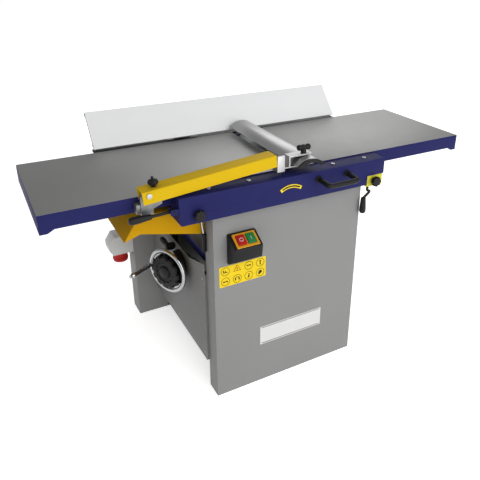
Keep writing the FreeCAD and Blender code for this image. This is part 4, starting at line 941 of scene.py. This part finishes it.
@dataclass
class Labels:
    """Plain stickers: the pictogram sheet, a blank plate and the arc on the beam."""

    face: float = -265.0
    sheet: tuple[float, float, float, float] = (-282.0, -102.0, 470.0, 550.0)
    plate: tuple[float, float, float, float] = (-122.0, 148.0, 170.0, 250.0)
    icon: float = 15.5

    def plaque(self, name: str, box: tuple[float, float, float, float], lift: float,
               finish: Finish) -> Shape:
        """A thin plate on the cabinet's front, its corners rounded."""
        left, right, low, high = box
        shape = Shape.block(name, at(left, self.face - lift, low), at(right, self.face - lift + 0.5, high))
        shape.edit("EDGE", runs_deep,
                   bpy.ops.mesh.bevel, offset=0.003, segments=4)
        return shape.smooth(40).dress(finish)

    def build(self) -> None:
        """Make all the stickers."""
        self.plaque("pictogram_sheet", self.sheet, 0.6, LABEL_YELLOW).mount("cabinet", "yellow_plastic")
        self.plaque("blank_plate", self.plate, 0.7, LABEL_WHITE).mount("cabinet", "sheet_steel")
        left, right, low, high = self.plate
        for number, level in enumerate((low + 5, high - 5)):
            line = self.plaque(f"plate_line_{number}", (left + 6, right - 6, level - 1, level + 1), 1.0,
                               LABEL_RED)
            line.mount("cabinet", "red_plastic")
        self.icons()
        self.arc()

    def icons(self) -> None:
        """Eight generic signs in two rows: rings with simple tools in them, and a triangle."""
        left, right, low, high = self.sheet
        for number in range(8):
            column, row = number % 4, number // 4
            x = left + (right - left) * (column + 0.5) / 4
            z = high - (high - low) * (row + 0.5) / 2
            spot = at(x, self.face - 0.8, z)
            if number == 1:
                sign = Shape.ring("sign_1", self.icon, 1.1, 3)
                sign.place(along(Vector((0, -1, 0)), spot) @ Matrix.Rotation(math.radians(90), 4, "Z"))
                sign.dress(LABEL_RED)
            else:
                sign = Shape.ring(f"sign_{number}", self.icon, 0.7, 40)
                sign.place(along(Vector((0, -1, 0)), spot))
                sign.dress(LABEL_BLACK)
            marks = self.glyph(number, x, z)
            sign.mount("cabinet", "black_plastic")
            marks.dress(LABEL_BLACK).mount("cabinet", "black_plastic")

    def glyph(self, number: int, x: float, z: float) -> Shape:
        """A few strokes and dots that stand for a generic sign."""
        strokes = {
            0: ((-8, 8, -5, -2), (-8, -5, -2, 6), (-1, 2, -2, 3)),
            1: ((-1.2, 1.2, -3, 5), (-1.2, 1.2, -7, -5)),
            2: ((-8, -2, -2, 3), (2, 8, -2, 3), (-2, 2, 1, 3)),
            3: ((-2, 2, -9, 3), (-4, 4, 4, 8)),
            4: ((-9, -3, -3, 2), (3, 9, -3, 2), (-3, 3, -1, 1)),
            5: ((-9, -5, -6, 5), (5, 9, -6, 5), (-6, 6, 5, 7)),
            6: ((-2, 2, -8, 4), (-5, -2, -8, -5), (-1, 4, 5, 8)),
            7: ((-7, 0, -7, 4), (0, 6, -3, 7), (-4, 4, 4, 8)),
        }[number]
        parts = []
        for count, (left, right, low, high) in enumerate(strokes):
            part = Shape.block(f"glyph_{number}_{count}", at(x + left, self.face - 1.2, z + low),
                               at(x + right, self.face - 0.4, z + high))
            part.edit("EDGE", runs_deep,
                      bpy.ops.mesh.bevel, offset=0.0009, segments=2)
            parts.append(part)
        return parts[0].join(*parts[1:])

    def arc(self) -> None:
        """The yellow arc with a dark stroke on the beam's front."""
        for name, size, reach, lift, finish in (("arc_badge", 6.5, 40, 0.0, LABEL_YELLOW),
                                                ("arc_stroke", 2.6, 34, 0.5, LABEL_BLACK)):
            points = []
            for step in range(9):
                x = -reach + 2 * reach * step / 8
                points.append(Vector((x / 1000, 0, (12 - x * x / 130) / 1000)))
            band = Shape.tube(name, points, size)
            band.place(Matrix.Translation(at(-25, -297.2 - lift, 800)) @ Matrix.Diagonal((1, 0.08, 1, 1)))
            band.dress(finish).mount("tables", "yellow_plastic")


# ---- studio -------------------------------------------------------------------------


@dataclass
class Studio:
    """Pale floor, soft lights and the camera."""

    place: Point = (-0.929, -1.734 - SHIFT, 1.527)
    azimuth: float = -29.55
    height: float = 23.5
    roll: float = -0.72
    lens: float = 41.29
    shift: tuple[float, float] = (-0.0583, -0.1)
    glow: float = 0.62
    ambient: float = 0.45
    lights: tuple[tuple[Point, float, float], ...] = field(default_factory=lambda: (
        ((1.0, -5.2, 2.8), 6.0, 330.0), ((-3.4, -1.6, 2.8), 2.4, 10.0), ((2.6, 3.2, 3.2), 3.2, 60.0)))

    def build(self) -> None:
        """Make the stage and aim the camera."""
        clear_selection()
        bpy.ops.mesh.primitive_plane_add(size=40)
        floor = Shape(bpy.context.object, "floor")
        pale = Finish("pale_floor", (0.86, 0.86, 0.86), 0.8, second=(0.85, 0.85, 0.85), grain_strength=0.02,
                      grain_tint=0.0)
        floor.dress(pale)
        shader = pale.material().node_tree.nodes["Principled BSDF"]
        shader.inputs["Emission Color"].default_value = (1, 1, 1, 1)
        shader.inputs["Emission Strength"].default_value = self.glow
        for number, (spot, size, power) in enumerate(self.lights):
            lamp = bpy.data.lights.new(f"softbox_{number}", "AREA")
            lamp.shape = "SQUARE"
            lamp.size = size
            lamp.energy = power
            holder = bpy.data.objects.new(f"softbox_{number}", lamp)
            holder.location = spot
            aim = Vector((0, 0, 0.6)) - Vector(spot)
            holder.rotation_euler = aim.to_track_quat("-Z", "Y").to_euler()
            bpy.context.collection.objects.link(holder)
        world = bpy.data.worlds.new("studio")
        world.use_nodes = True
        world.node_tree.nodes["Background"].inputs[0].default_value = (1, 1, 1, 1)
        world.node_tree.nodes["Background"].inputs[1].default_value = self.ambient
        bpy.context.scene.world = world
        bpy.context.scene.view_settings.view_transform = "Standard"
        self.camera()

    def camera(self) -> None:
        """The camera at the viewing angle, with its shift and slight roll."""
        side, rise, roll = (math.radians(value) for value in (self.azimuth, self.height, self.roll))
        back = Vector((math.sin(side) * math.cos(rise), -math.cos(side) * math.cos(rise), math.sin(rise)))
        right = (-back).cross(Vector((0, 0, 1))).normalized()
        up = back.cross(right)
        right, up = (right * math.cos(roll) - up * math.sin(roll),
                     up * math.cos(roll) + right * math.sin(roll))
        turn = Matrix((right, up, back)).transposed().to_4x4()
        lens = bpy.data.cameras.new("camera")
        lens.lens = self.lens
        lens.shift_x, lens.shift_y = self.shift
        lens.clip_end = 100
        holder = bpy.data.objects.new("camera", lens)
        holder.matrix_world = Matrix.Translation(Vector(self.place)) @ turn
        bpy.context.collection.objects.link(holder)
        bpy.context.scene.camera = holder


def main() -> None:
    """Build the machine's sub-assemblies in order, then the studio."""
    logging.basicConfig(level=logging.INFO, format="%(name)s: %(message)s")
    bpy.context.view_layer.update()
    for unit in (Cabinet(), Drive(), ThicknessUnit(), Handwheel(), Tables(), FenceUnit(), BridgeGuard(),
                 Controls(), Labels(), Studio()):
        LOG.info("building %s", type(unit).__name__)
        unit.build()


if __name__ == "__main__":
    main()
